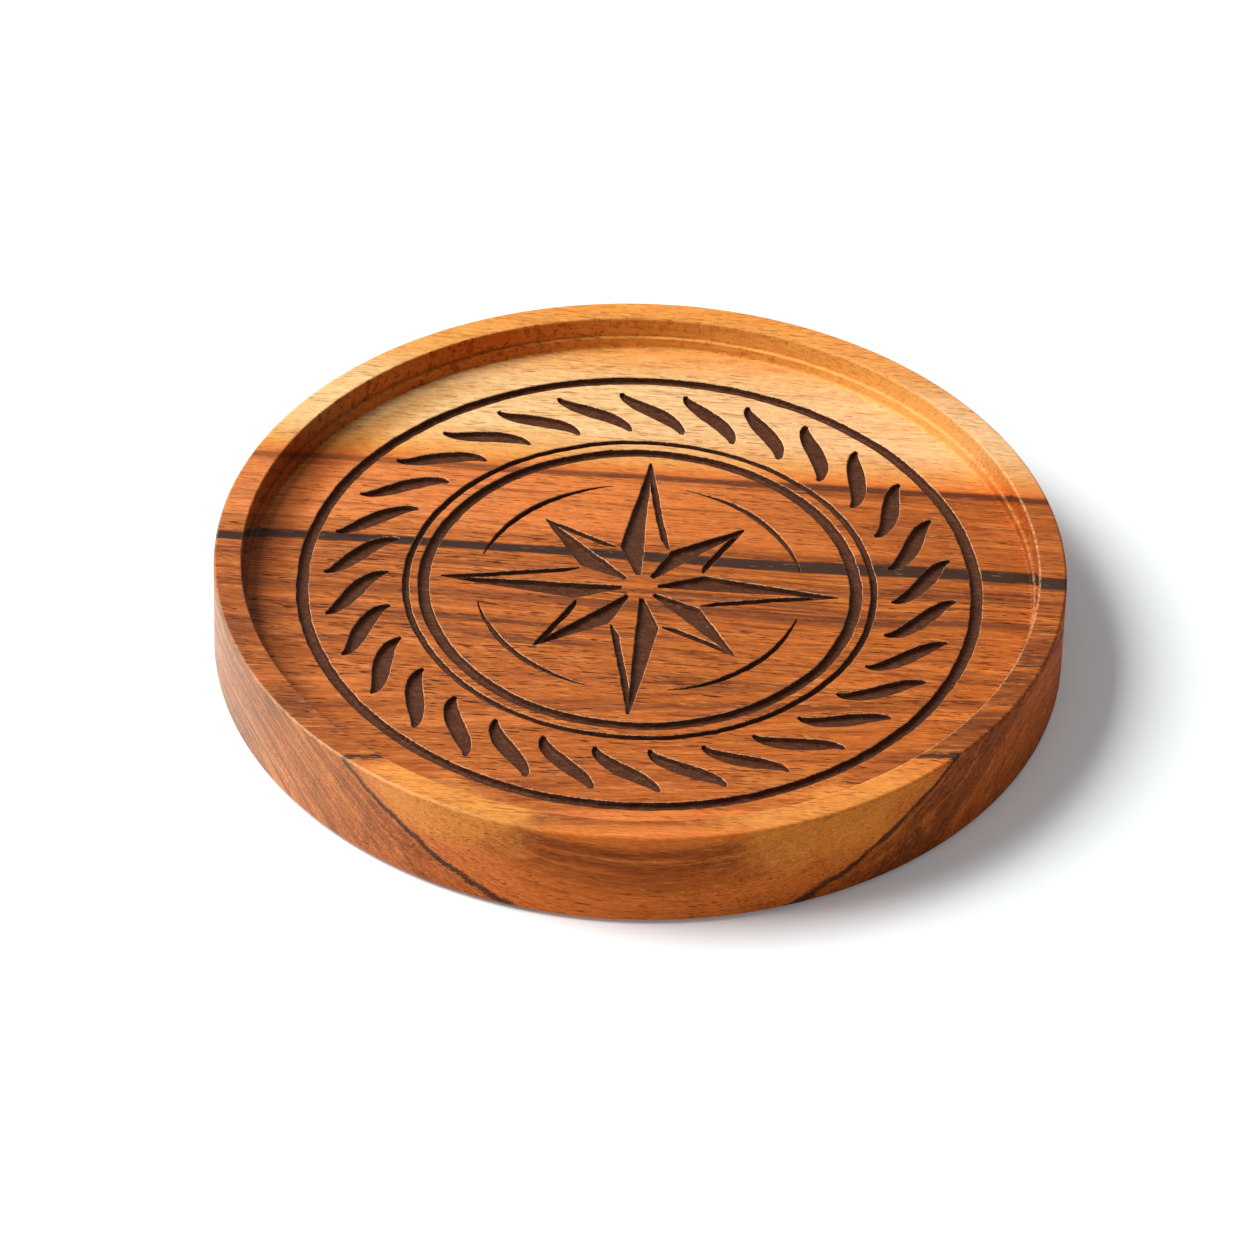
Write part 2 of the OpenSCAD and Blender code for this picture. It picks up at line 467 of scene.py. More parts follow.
class Layout:
    """Radii of the ornament, laid out from the recess wall inwards."""

    def __init__(self, board, sizes):
        bold, fine = sizes.bold_line, sizes.fine_line
        self.outer_ring = board.seat_radius - sizes.margin - bold / 2
        self.rope_inner = self.outer_ring - bold / 2 - sizes.border_gap - sizes.rope_band
        self.fine_ring = self.rope_inner - sizes.border_gap - fine / 2
        self.inner_ring = self.fine_ring - fine / 2 - sizes.ring_gap - bold / 2
        self.star = self.inner_ring - bold / 2 - sizes.star_gap
        self.short_point = self.star * SHORT_POINT_SHARE
        self.shoulder = self.star * SHOULDER_SHARE
        self.hub = self.star * HUB_SHARE
        self.arc = self.star * ARC_SHARE


def ring_stroke(radius, width):
    """A carved ring. A stroke is its two edges by share of its length, that length, and if it is closed."""

    def edges(share):
        turn = 2 * math.pi * share
        return polar(radius + width / 2, turn), polar(radius - width / 2, turn)

    return edges, 2 * math.pi * radius, True


def arc_stroke(layout, sizes, quarter):
    """An arc between two long points of the star."""
    start = quarter * math.pi / 2 + ARC_END
    sweep = math.pi / 2 - 2 * ARC_END

    def edges(share):
        half = sizes.fine_line / 2 * swell(share)
        turn = start + sweep * share
        return polar(layout.arc + half, turn), polar(layout.arc - half, turn)

    return edges, sweep * layout.arc, False


def strand_stroke(layout, sizes, strand):
    """One strand of the rope border, a slanted S."""
    start = 2 * math.pi * strand / sizes.strands

    def spot(share):
        turn = start + sizes.lean * share * share * (3 - 2 * share)
        return polar(layout.rope_inner + sizes.rope_band * share, turn)

    def edges(share):
        along = (spot(share + SMALL_SHARE) - spot(share - SMALL_SHARE)).normalized()
        aside = Vector((along.y, -along.x)) * (sizes.strand_width / 2 * swell(share))
        return spot(share) + aside, spot(share) - aside

    return edges, sizes.rope_band * STRAND_RUN_SHARE, False


def star_half(layout, point, side):
    """One half of a star point: the ways along it and across it, its shoulder and its tip."""
    turn = point * STAR_STEP
    reach = layout.star if point % 2 == 0 else layout.short_point
    along = polar(1, turn)
    aside = Vector((-along.y, along.x)) * side
    shoulder = (along * math.cos(STAR_STEP / 2) + aside * math.sin(STAR_STEP / 2)) * layout.shoulder
    return along, aside, shoulder, along * reach


def dark_stroke(layout, sizes, point):
    """The half of a star point that is carved away whole."""
    along, aside, shoulder, tip = star_half(layout, point, 1)
    run = tip.length - layout.hub
    widest = (shoulder.dot(along) - layout.hub) / run
    inner_width = layout.hub * math.tan(STAR_STEP / 2)

    def edges(share):
        if share < widest:
            width = inner_width + (shoulder.dot(aside) - inner_width) * share / widest - sizes.stroke_gap
        else:
            full = shoulder.dot(aside) - sizes.stroke_gap
            width = full + (sizes.tip - full) * (share - widest) / (1 - widest)
        base = along * (layout.hub + run * share)
        return base + aside * width, base

    return edges, run, False


def edge_stroke(layout, sizes, point):
    """The line that edges the half of a star point that stays standing."""
    _, aside, start, end = star_half(layout, point, -1)
    inward = Vector((start.y - end.y, end.x - start.x)).normalized()
    if inward.dot(aside) > 0:
        inward = -inward

    def edges(share):
        thinned = min(1.0, share / FULL_WIDTH_SHARES[0], (1 - share) / (1 - FULL_WIDTH_SHARES[1]))
        spot = start.lerp(end, share)
        return spot, spot + inward * (sizes.tip + (sizes.fine_line - sizes.tip) * thinned)

    return edges, (end - start).length, False


def drawn_strokes(board, sizes):
    """The ornament's strokes in the order they are carved, in passes of strokes that don't meet."""
    layout = Layout(board, sizes)
    bands = [
        ring_stroke(layout.inner_ring, sizes.bold_line),
        ring_stroke(layout.fine_ring, sizes.fine_line),
        ring_stroke(layout.outer_ring, sizes.bold_line),
    ]
    bands += [arc_stroke(layout, sizes, quarter) for quarter in range(4)]
    bands += [strand_stroke(layout, sizes, strand) for strand in range(sizes.strands)]
    dark_halves = [dark_stroke(layout, sizes, point) for point in range(STAR_POINTS)]
    edge_lines = [edge_stroke(layout, sizes, point) for point in range(STAR_POINTS)]
    return bands, dark_halves, edge_lines


def groove_profile(half_width, sizes):
    """Half of a carved line's section, as (outward, down) from its edge: lip, steep wall, hollow bottom."""
    full = min(1.0, half_width / sizes.full_depth_at)
    lip = sizes.lip * full
    depth = sizes.depth * (SHALLOWEST_SHARE + (1 - SHALLOWEST_SHARE) * full)
    hollow = min(sizes.hollow, HOLLOW_SHARE * half_width)
    wall = -WALL_LEAN_SHARE * half_width
    places = [(lip, -sizes.lip * LIPS_ABOVE)]
    for turn in ROUNDING_TURNS:
        places.append((lip - lip * math.sin(turn), lip * (1 - math.cos(turn))))
    for turn in ROUNDING_TURNS:
        places.append((wall - hollow * (1 - math.cos(turn)), depth - hollow + hollow * math.sin(turn)))
    return places


def carve_stroke(mesh, stroke, sizes, floor):
    """Adds the solid that one stroke takes out of the floor, section after section along it."""
    edges, run, closed = stroke
    count = max(FEWEST_SECTIONS, math.ceil(run / sizes.pitch))
    last = count if closed else count + 1
    sections = []
    for step in range(last):
        first, second = edges(step / count)
        half = (first - second).length / 2
        middle = (first + second) / 2
        across = (first - second).normalized()
        profile = groove_profile(half, sizes)
        near = [(middle + across * (half + out), floor - down) for out, down in profile]
        far = [(middle - across * (half + out), floor - down) for out, down in reversed(profile)]
        places = [strayed(spot, height, floor, sizes) for spot, height in near + far]
        sections.append([mesh.verts.new(place) for place in places])
    pairs = list(zip(sections, sections[1:]))
    if closed:
        pairs.append((sections[-1], sections[0]))
    for before, after in pairs:
        for a, b, c, d in zip(before, before[1:] + before[:1], after[1:] + after[:1], after):
            mesh.faces.new((a, b, c, d))
    if not closed:
        mesh.faces.new(sections[0])
        mesh.faces.new(sections[-1][::-1])


def strayed(spot, height, floor, sizes):
    """Where the hand really cuts: a slow drift and a finer shake, and an uneven bottom."""
    slow = Vector((spot.x, spot.y, 0)) / DRIFT_PITCH
    fast = Vector((spot.x, spot.y, SHAKE_LEVEL)) / SHAKE_PITCH
    drift = noise.noise_vector(slow) * DRIFT_SHARE + noise.noise_vector(fast)
    share = max(0.0, (floor - height) / sizes.depth)
    uneven = Vector((spot.x, spot.y, UNEVEN_LEVEL)) / UNEVEN_PITCH
    rough = noise.noise(uneven) * share * sizes.unevenness
    return Vector((spot.x + drift.x * sizes.waver, spot.y + drift.y * sizes.waver, height + rough))


def make_cutter(board, sizes, strokes):
    """The solids that the strokes of one pass take out of the floor."""
    noise.seed_set(HAND_SEED)
    mesh = bmesh.new()
    for stroke in strokes:
        carve_stroke(mesh, stroke, sizes, board.floor)
    bmesh.ops.recalc_face_normals(mesh, faces=mesh.faces)
    data = bpy.data.meshes.new("carving_cutter")
    mesh.to_mesh(data)
    mesh.free()
    cutter = bpy.data.objects.new("carving_cutter", data)
    bpy.context.scene.collection.objects.link(cutter)
    return cutter


class Wiring:
    """Adds and joins the nodes of one node tree."""

    def __init__(self, tree):
        self.tree = tree

    def add(self, kind, inputs=(), **settings):
        """Adds a node. inputs gives its sockets by name, each a value or another node's socket."""
        made = self.tree.nodes.new(kind)
        made.location.x = NODE_STEP * len(self.tree.nodes)
        for name, value in settings.items():
            setattr(made, name, value)
        for name, value in dict(inputs).items():
            self.feed(made.inputs[name], value)
        return made

    def feed(self, socket, value):
        """Gives a socket a value, or joins it to another socket."""
        if isinstance(value, bpy.types.NodeSocket):
            self.tree.links.new(value, socket)
        else:
            socket.default_value = value

    def math(self, operation, *values, clamp=False):
        """A sum on numbers."""
        made = self.add("ShaderNodeMath", operation=operation, use_clamp=clamp)
        for socket, value in zip(made.inputs, values):
            self.feed(socket, value)
        return made.outputs[0]

    def vector(self, operation, *values):
        """A sum on vectors."""
        made = self.add("ShaderNodeVectorMath", operation=operation)
        for socket, value in zip(made.inputs, values):
            self.feed(socket, value)
        return made.outputs["Value" if operation == "LENGTH" else "Vector"]

    def scaled(self, vector, factor):
        """A vector times a number."""
        made = self.add("ShaderNodeVectorMath", {"Vector": vector, "Scale": factor}, operation="SCALE")
        return made.outputs["Vector"]

    def combine(self, x, y, z):
        """A vector from its parts."""
        return self.add("ShaderNodeCombineXYZ", {"X": x, "Y": y, "Z": z}).outputs[0]

    def parts(self, vector):
        """The X, Y and Z parts of a vector."""
        return self.add("ShaderNodeSeparateXYZ", {"Vector": vector}).outputs

    def noise(self, vector, detail=2.0, roughness=0.5):
        """Smooth noise, one feature to each unit of the vector. Its outputs are a value and a colour."""
        inputs = {"Vector": vector, "Scale": 1.0, "Detail": detail, "Roughness": roughness}
        return self.add("ShaderNodeTexNoise", inputs).outputs

    def fade(self, value, start, end, low=0.0, high=1.0):
        """Goes smoothly from low to high while value goes from start to end, and stays there past them."""
        inputs = {"Value": value, "From Min": start, "From Max": end, "To Min": low, "To Max": high}
        return self.add("ShaderNodeMapRange", inputs, interpolation_type="SMOOTHSTEP").outputs[0]

    def mix(self, factor, first, second, blend="MIX"):
        """Mixes two colours."""
        made = self.add("ShaderNodeMix", data_type="RGBA", blend_type=blend)
        for index, value in zip(COLOUR_MIX_INPUTS, (factor, first, second)):
            self.feed(made.inputs[index], value)
        return made.outputs[COLOUR_MIX_OUTPUT]

    def ramp(self, value, stops):
        """Looks a value up in a list of (place, colour), in rising order."""
        first, last = stops[0][0], stops[-1][0]
        share = self.math("DIVIDE", self.math("SUBTRACT", value, first), last - first)
        made = self.add("ShaderNodeValToRGB", {"Fac": share})
        elements = made.color_ramp.elements
        while len(elements) < len(stops):
            elements.new(1.0)
        for element, (place, shade) in zip(elements, stops):
            element.position = (place - first) / (last - first)
            element.color = solid(shade)
        return made.outputs["Color"]

    def group(self, tree, **inputs):
        """Places a node group. A socket is named in small letters, with a low line for each space."""
        made = self.add("ShaderNodeGroup", node_tree=tree)
        for name, value in inputs.items():
            self.feed(made.inputs[name.replace("_", " ").title()], value)
        return made.outputs


def new_group(name, inputs, outputs):
    """An empty node group. Gives its tree, its wiring, and the sockets that carry its inputs and outputs.

    inputs lists (name, kind, default), and outputs lists (name, kind).
    """
    tree = bpy.data.node_groups.new(name, "ShaderNodeTree")
    for label, kind, default in inputs:
        socket = tree.interface.new_socket(name=label, in_out="INPUT", socket_type=kind)
        if default is not None:
            socket.default_value = default
    for label, kind in outputs:
        tree.interface.new_socket(name=label, in_out="OUTPUT", socket_type=kind)
    wires = Wiring(tree)
    return tree, wires, wires.add("NodeGroupInput").outputs, wires.add("NodeGroupOutput").inputs


def place_group():
    """Object coordinates in millimetres, with the distance from the axis."""
    outputs = [("Place", VECTOR), ("Radius", FLOAT), ("Height", FLOAT)]
    tree, wires, _, ends = new_group("Place In Millimetres", [], outputs)
    coordinates = wires.add("ShaderNodeTexCoord").outputs["Object"]
    place = wires.scaled(coordinates, MM_PER_M)
    wires.feed(ends["Place"], place)
    flat = wires.vector("MULTIPLY", place, (1, 1, 0))
    wires.feed(ends["Radius"], wires.vector("LENGTH", flat))
    wires.feed(ends["Height"], wires.parts(place)["Z"])
    return tree


# Noise lies around this value
NOISE_MIDDLE = 0.5

# Long grain: how far each row slides on, by its place across and up, and how rough its noise is
ROW_SLIDES = (0.37, 0.61)
GRAIN_ROUGHNESS = 0.55


def grain_group():
    """Noise that is drawn out along the grain. Its rows slide on, so that no two of them start together."""
    inputs = [
        ("Place", VECTOR, None),
        ("Fibre Length", FLOAT, 20.0),
        ("Fibre Width", FLOAT, 1.0),
        ("Detail", FLOAT, 2.0),
        ("Shift", FLOAT, 0.0),
    ]
    tree, wires, given, ends = new_group("Long Grain", inputs, [("Value", FLOAT)])
    along = wires.math("DIVIDE", 1.0, given["Fibre Length"])
    across = wires.math("DIVIDE", 1.0, given["Fibre Width"])
    stretched = wires.vector("MULTIPLY", given["Place"], wires.combine(along, across, across))
    parts = wires.parts(stretched)
    slide_y, slide_z = ROW_SLIDES
    slide = wires.math("MULTIPLY_ADD", parts["Y"], slide_y, wires.math("MULTIPLY", parts["Z"], slide_z))
    start = wires.math("ADD", given["Shift"], slide)
    moved = wires.vector("ADD", stretched, wires.combine(start, given["Shift"], given["Shift"]))
    wires.feed(ends["Value"], wires.noise(moved, given["Detail"], GRAIN_ROUGHNESS)[0])
    return tree


# Growth layers: the scales of their slow wander and of their shiver along X, Y and Z, as features in a
# millimetre, the shiver's reach in millimetres, and how much the wood place is squeezed around the pith
WANDER_SCALE = (0.011, 0.04, 0.04)
SHIVER_SCALE = (0.05, 0.35, 0.35)
SHIVER_REACH = 0.45
AROUND_SQUEEZE = 0.35


def layer_group():
    """The growth layer of a place, as its distance from the pith, which runs along X below the board.

    Wood Place is the place along the grain, around the pith and outwards from it. It is squeezed around the
    pith, so that a pattern drawn in it runs along the growth layers on the end grain.
    """
    inputs = [
        ("Place", VECTOR, None),
        ("Drift", FLOAT, 2.0),
        ("Pith Back", FLOAT, -18.2),
        ("Pith Front", FLOAT, -17.6),
        ("Pith Height", FLOAT, -16.0),
        ("Front Skew", FLOAT, 0.092),
        ("Front Spread", FLOAT, 1.13),
        ("Bend Start", FLOAT, 18.0),
        ("Bend Length", FLOAT, 40.0),
    ]
    outputs = [("Layer", FLOAT), ("Wood Place", VECTOR)]
    tree, wires, given, ends = new_group("Growth Layers", inputs, outputs)
    middle = (NOISE_MIDDLE, NOISE_MIDDLE, NOISE_MIDDLE)
    slow = wires.vector("MULTIPLY", given["Place"], WANDER_SCALE)
    wander = wires.vector("SUBTRACT", wires.noise(slow)[1], middle)
    fine = wires.vector("MULTIPLY", given["Place"], SHIVER_SCALE)
    shiver = wires.vector("SUBTRACT", wires.noise(fine, detail=1.0)[1], middle)
    moved = wires.vector("ADD", wires.scaled(wander, given["Drift"]), wires.scaled(shiver, SHIVER_REACH))
    x, y, z = wires.parts(wires.vector("ADD", given["Place"], moved))[0:3]
    back = wires.math("SUBTRACT", y, given["Pith Back"])
    skewed = wires.math("SUBTRACT", y, wires.math("MULTIPLY", x, given["Front Skew"]))
    front = wires.math("SUBTRACT", given["Pith Front"], skewed)
    front = wires.math("MULTIPLY", front, given["Front Spread"])
    aside = wires.math("MAXIMUM", back, front)
    far = wires.math("MAXIMUM", wires.math("SUBTRACT", aside, given["Bend Start"]), 0.0)
    decay = wires.math("DIVIDE", far, given["Bend Length"])
    decay = wires.math("EXPONENT", wires.math("MULTIPLY", decay, -1.0))
    bent = wires.math("MULTIPLY", wires.math("SUBTRACT", 1.0, decay), given["Bend Length"])
    near = wires.math("MINIMUM", aside, given["Bend Start"])
    across = wires.math("ADD", near, bent)
    up = wires.math("SUBTRACT", z, given["Pith Height"])
    layer = wires.vector("LENGTH", wires.combine(0.0, across, up))
    wires.feed(ends["Layer"], layer)
    side = wires.math("GREATER_THAN", back, front)
    side = wires.math("SUBTRACT", wires.math("MULTIPLY", side, 2.0), 1.0)
    turn = wires.math("MULTIPLY", wires.math("ARCTAN2", across, up), side)
    around = wires.math("MULTIPLY", turn, wires.math("MULTIPLY", layer, AROUND_SQUEEZE))
    wires.feed(ends["Wood Place"], wires.combine(x, around, layer))
    return tree


# A corner's mask is full over this share of its reach
CORNER_CORE_SHARE = 0.3


def corner_group():
    """A mask along a circular corner of the board."""
    inputs = [
        ("Radius", FLOAT, None),
        ("Height", FLOAT, None),
        ("Corner Radius", FLOAT, 50.0),
        ("Corner Height", FLOAT, 12.0),
        ("Reach", FLOAT, 0.4),
    ]
    tree, wires, given, ends = new_group("Corner", inputs, [("Mask", FLOAT)])
    out = wires.math("SUBTRACT", given["Radius"], given["Corner Radius"])
    up = wires.math("SUBTRACT", given["Height"], given["Corner Height"])
    away = wires.vector("LENGTH", wires.combine(out, up, 0.0))
    core = wires.math("MULTIPLY", given["Reach"], CORNER_CORE_SHARE)
    wires.feed(ends["Mask"], wires.fade(away, given["Reach"], core))
    return tree


# Specks: the noise value at which they start for an amount of 0, how much lower it is for 1, and their edge
SPECK_START = 0.85
SPECK_SPAN = 0.4
SPECK_EDGE = 0.1


def speckle_group():
    """Fine round specks."""
    inputs = [("Place", VECTOR, None), ("Size", FLOAT, 0.3), ("Amount", FLOAT, 0.5)]
    tree, wires, given, ends = new_group("Speckle", inputs, [("Mask", FLOAT), ("Value", FLOAT)])
    shrunk = wires.scaled(given["Place"], wires.math("DIVIDE", 1.0, given["Size"]))
    value = wires.noise(shrunk, roughness=0.6)[0]
    start = wires.math("SUBTRACT", SPECK_START, wires.math("MULTIPLY", given["Amount"], SPECK_SPAN))
    wires.feed(ends["Mask"], wires.fade(value, start, wires.math("ADD", start, SPECK_EDGE)))
    wires.feed(ends["Value"], value)
    return tree


# Patches: how much the clouds fray their edge, and the range over which it fades
PATCH_RAGGED = 1.3
PATCH_EDGE = (1.75, 1.15)


def patch_group():
    """A cloudy patch with a ragged edge."""
    inputs = [
        ("Place", VECTOR, None),
        ("Centre", VECTOR, None),
        ("Reach", VECTOR, None),
        ("Cloud Size", FLOAT, 5.0),
    ]
    tree, wires, given, ends = new_group("Patch", inputs, [("Mask", FLOAT)])
    away = wires.vector("DIVIDE", wires.vector("SUBTRACT", given["Place"], given["Centre"]), given["Reach"])
    clouds = wires.scaled(given["Place"], wires.math("DIVIDE", 1.0, given["Cloud Size"]))
    cloudy = wires.noise(clouds, detail=4.0, roughness=0.6)[0]
    ragged = wires.math("MULTIPLY_ADD", cloudy, PATCH_RAGGED, wires.vector("LENGTH", away))
    wires.feed(ends["Mask"], wires.fade(ragged, *PATCH_EDGE))
    return tree


# Below, a range is what Wiring.fade takes: its start and end, and its values there where they aren't 0 and
# 1. A band is what band() takes: its start, its end and how far it fades past them. Places are in
# millimetres, layers are distances from the pith, and scales are features of a noise in a millimetre.


def blank_material(name):
    """A new material with only its output. Gives the material, its wiring and its surface socket."""
    made = bpy.data.materials.new(name)
    made.use_nodes = True
    made.node_tree.nodes.clear()
    wires = Wiring(made.node_tree)
    surface = wires.add("ShaderNodeOutputMaterial").inputs["Surface"]
    return made, wires, surface


def heart_stops(colours):
    """The layers of the heartwood, from the pith outwards, each with its distance from the pith."""
    return [
        (16.0, colours.heartwood),
        (21.0, colours.russet),
        (31.0, colours.russet),
        (32.2, colours.heartwood),
        (33.2, colours.russet),
    ]


def back_stops(colours):
    """The layers at the back, out to the sapwood."""
    return heart_stops(colours) + [
        (35.4, colours.russet),
        (36.4, colours.orange),
        (41.6, colours.orange),
        (42.2, colours.russet),
        (42.8, colours.orange),
        (43.9, colours.honey),
        (46.0, colours.sapwood),
        (49.4, colours.sapwood),
        (51.4, colours.honey),
        (54.0, colours.amber),
        (60.0, colours.amber),
    ]


def front_stops(colours):
    """The layers at the front, where the heartwood gives way to lighter wood."""
    return heart_stops(colours) + [
        (34.8, colours.russet),
        (35.4, colours.orange),
        (38.2, colours.orange),
        (39.6, colours.russet),
        (41.0, colours.heartwood),
        (42.3, colours.heartwood),
        (43.0, colours.orange),
        (46.0, colours.orange),
        (60.0, colours.heartwood),
    ]


def solid(shade):
    """A colour setting as a colour with full opacity."""
    return (*shade, 1.0)


def band(wires, value, start, end, soft):
    """A mask that is 1 while value is between start and end."""
    rising = wires.fade(value, start - soft, start)
    return wires.math("MULTIPLY", rising, wires.fade(value, end + soft, end))


def product(wires, *factors):
    """Several masks or numbers, multiplied."""
    total = factors[0]
    for factor in factors[1:]:
        total = wires.math("MULTIPLY", total, factor)
    return total


# Patterns of long grain: the length and width of one fibre, the detail, and a shift that sets it apart
GRAINS = {
    "fibres": {"fibre_length": 5.0, "fibre_width": 0.22, "detail": 4.0, "shift": 7.0},
    "streaks": {"fibre_length": 40.0, "fibre_width": 1.1, "detail": 5.0},
    "lines": {"fibre_length": 11.0, "fibre_width": 0.38, "detail": 4.0, "shift": 19.0},
    "hairs": {"fibre_length": 2.6, "fibre_width": 0.16, "detail": 2.0, "shift": 29.0},
    "threads": {"fibre_length": 120.0, "fibre_width": 0.65, "detail": 3.0, "shift": 53.0},
    "mottle": {"fibre_length": 0.9, "fibre_width": 0.4, "detail": 3.0, "shift": 41.0},
    "pores": {"fibre_length": 2.2, "fibre_width": 0.19, "detail": 1.0, "shift": 3.0},
    "clusters": {"fibre_length": 30.0, "fibre_width": 3.0, "detail": 1.0, "shift": 11.0},
    "scuffs": {"fibre_length": 3.0, "fibre_width": 0.14, "detail": 1.0, "shift": 61.0},
    "wall": {"fibre_length": 16.0, "fibre_width": 0.45, "detail": 3.0, "shift": 71.0},
    "flakes": {"fibre_length": 1.6, "fibre_width": 0.3, "detail": 2.0, "shift": 5.0},
}


def grain(wires, groups, place, name):
    """One of the patterns of GRAINS."""
    return wires.group(groups["grain"], place=place, **GRAINS[name])["Value"]


def frayed(wires, layer, value, amount):
    """The layer, moved up to half the amount either way by a noise value."""
    return wires.math("MULTIPLY_ADD", wires.math("SUBTRACT", value, NOISE_MIDDLE), amount, layer)


def patches(wires, groups, place, spots, **settings):
    """A mask of all the patches of one table."""
    patch = groups["patch"]
    masks = [wires.group(patch, place=place, **settings, **spot)["Mask"] for spot in spots.values()]
    return wires.math("MAXIMUM", *masks)


# How far the fibres fray the colours of the layers and the dark lines, how far blots fray the front line,
# and the scale of the blots
LAYER_FRAY = 0.7
LINE_FRAY = 0.4
BLOT_FRAY = 0.9
BLOT_SCALE = 0.45

# Colour of the layers: where the front's layers set in, and what is behind the pith
FRONT_LAYERS_Y = (-20.0, -26.0)
BEHIND_PITH_Y = (-14.0, -8.0)
ORANGE_BAND = (35.2, 42.2, 0.6)
DARKER_RIGHT_X = (-10.0, 36.0, 0.0, 0.8)
PALER_LEFT_X = (-6.0, -40.0, 0.0, 0.1)
DARK_END_BAND = (28.5, 34.6, 0.8)
DARK_END_Y = (-4.0, -12.0)
DARK_RIGHT_END_X = (22.0, 36.0, 0.0, 0.55)
DARK_LEFT_END_X = (-28.0, -42.0, 0.0, 0.3)


def layered_colour(wires, colours, place, layer, fibres):
    """The colour of the growth layers, with what changes along the board."""
    x, y = wires.parts(place)["X"], wires.parts(place)["Y"]
    rough_layer = frayed(wires, layer, fibres, LAYER_FRAY)
    back = wires.ramp(rough_layer, back_stops(colours))
    front = wires.ramp(rough_layer, front_stops(colours))
    bare = wires.mix(wires.fade(y, *FRONT_LAYERS_Y), back, front)
    orange_zone = product(wires, band(wires, layer, *ORANGE_BAND), wires.fade(y, *BEHIND_PITH_Y))
    to_right = wires.math("MULTIPLY", orange_zone, wires.fade(x, *DARKER_RIGHT_X))
    bare = wires.mix(to_right, bare, solid(colours.heartwood))
    to_left = wires.math("MULTIPLY", orange_zone, wires.fade(x, *PALER_LEFT_X))
    bare = wires.mix(to_left, bare, solid(colours.honey))
    ends = wires.math("ADD", wires.fade(x, *DARK_RIGHT_END_X), wires.fade(x, *DARK_LEFT_END_X))
    dark_ends = product(wires, band(wires, layer, *DARK_END_BAND), ends, wires.fade(y, *DARK_END_Y))
    return wires.mix(dark_ends, bare, solid(colours.umber))


# Dark lines: the stripe, which widens to the right, a line on each side of it, and the front line
STRIPE_START = (33.35, 33.55, 0.0, 0.98)
STRIPE_END = (34.5, 34.3)
STRIPE_WIDENING_X = (-44.0, 40.0, -0.15, 0.35)
EDGE_LINE_BAND = (42.1, 42.4, 0.25)
EDGE_LINE_X = (-40.0, 30.0, 0.5, 0.95)
UNDER_LINE_BAND = (28.3, 28.6, 0.45)
UNDER_LINE_X = (-44.0, 30.0, 0.4, 0.75)
FRONT_LINE_BAND = (34.83, 35.17, 0.2)
FRONT_LINE_Y = (-21.0, -27.0)
FRONT_LINE_RADIUS = (45.0, 46.5, 0.2, 0.92)
FRONT_LINE_BLOTS = (0.25, 0.5, 0.8, 1.0)


def dark_lines(wires, colours, place, layer, fibres, bare):
    """Draws the near-black lines that some growth layers have, with edges that the fibres fray."""
    x, y = wires.parts(place)["X"], wires.parts(place)["Y"]
    radius = wires.vector("LENGTH", wires.vector("MULTIPLY", place, (1, 1, 0)))
    behind = wires.fade(y, *BEHIND_PITH_Y)
    fine = frayed(wires, layer, fibres, LINE_FRAY)
    widened = wires.math("SUBTRACT", fine, wires.fade(x, *STRIPE_WIDENING_X))
    stripe = product(wires, wires.fade(fine, *STRIPE_START), wires.fade(widened, *STRIPE_END), behind)
    edge = product(wires, band(wires, fine, *EDGE_LINE_BAND), behind, wires.fade(x, *EDGE_LINE_X))
    under = product(wires, band(wires, fine, *UNDER_LINE_BAND), behind, wires.fade(x, *UNDER_LINE_X))
    blots = wires.noise(wires.scaled(place, BLOT_SCALE), detail=3.0, roughness=0.6)[0]
    beaded = frayed(wires, layer, fibres, LAYER_FRAY)
    beaded = frayed(wires, beaded, blots, BLOT_FRAY)
    blotted = product(wires, wires.fade(radius, *FRONT_LINE_RADIUS), wires.fade(blots, *FRONT_LINE_BLOTS))
    front = product(wires, band(wires, beaded, *FRONT_LINE_BAND), wires.fade(y, *FRONT_LINE_Y), blotted)
    bare = wires.mix(edge, bare, solid(colours.umber))
    bare = wires.mix(under, bare, solid(colours.umber))
    return wires.mix(wires.math("MAXIMUM", stripe, front), bare, solid(colours.stripe))


# What a pattern darkens and lightens: the range of its noise, and the strength everywhere and what lively
# wood adds to it (dark) or heartwood (light)
Marks = collections.namedtuple("Marks", "dark dark_depth light light_depth")
MARKS = {
    "rings": Marks(dark=(0.56, 0.64), dark_depth=(0.1, 0.6), light=(0.44, 0.36), light_depth=(0.3, 0.0)),
    "streaks": Marks(dark=(0.57, 0.67), dark_depth=(0.12, 0.62), light=(0.47, 0.34), light_depth=(0.1, 0.5)),
    "lines": Marks(dark=(0.56, 0.66), dark_depth=(0.12, 0.45), light=(0.43, 0.33), light_depth=(0.35, 0.0)),
    "hairs": Marks(dark=(0.56, 0.68), dark_depth=(0.12, 0.45), light=(0.42, 0.3), light_depth=(0.5, 0.0)),
}
RING_SCALE = (0.009, 2.1, 0.0)
ORANGE_SHARE = 0.6


def draw_marks(wires, bare, value, marks, dark_tone, light_tone, lively, heart):
    """Darkens and lightens the wood by one pattern of the grain, more so where the wood is lively."""
    plain, more = marks.dark_depth
    depth = wires.math("MULTIPLY_ADD", lively, more, plain)
    bare = wires.mix(wires.math("MULTIPLY", wires.fade(value, *marks.dark), depth), bare, dark_tone)
    plain, more = marks.light_depth
    depth = wires.math("MULTIPLY_ADD", heart, more, plain)
    return wires.mix(wires.math("MULTIPLY", wires.fade(value, *marks.light), depth), bare, light_tone)


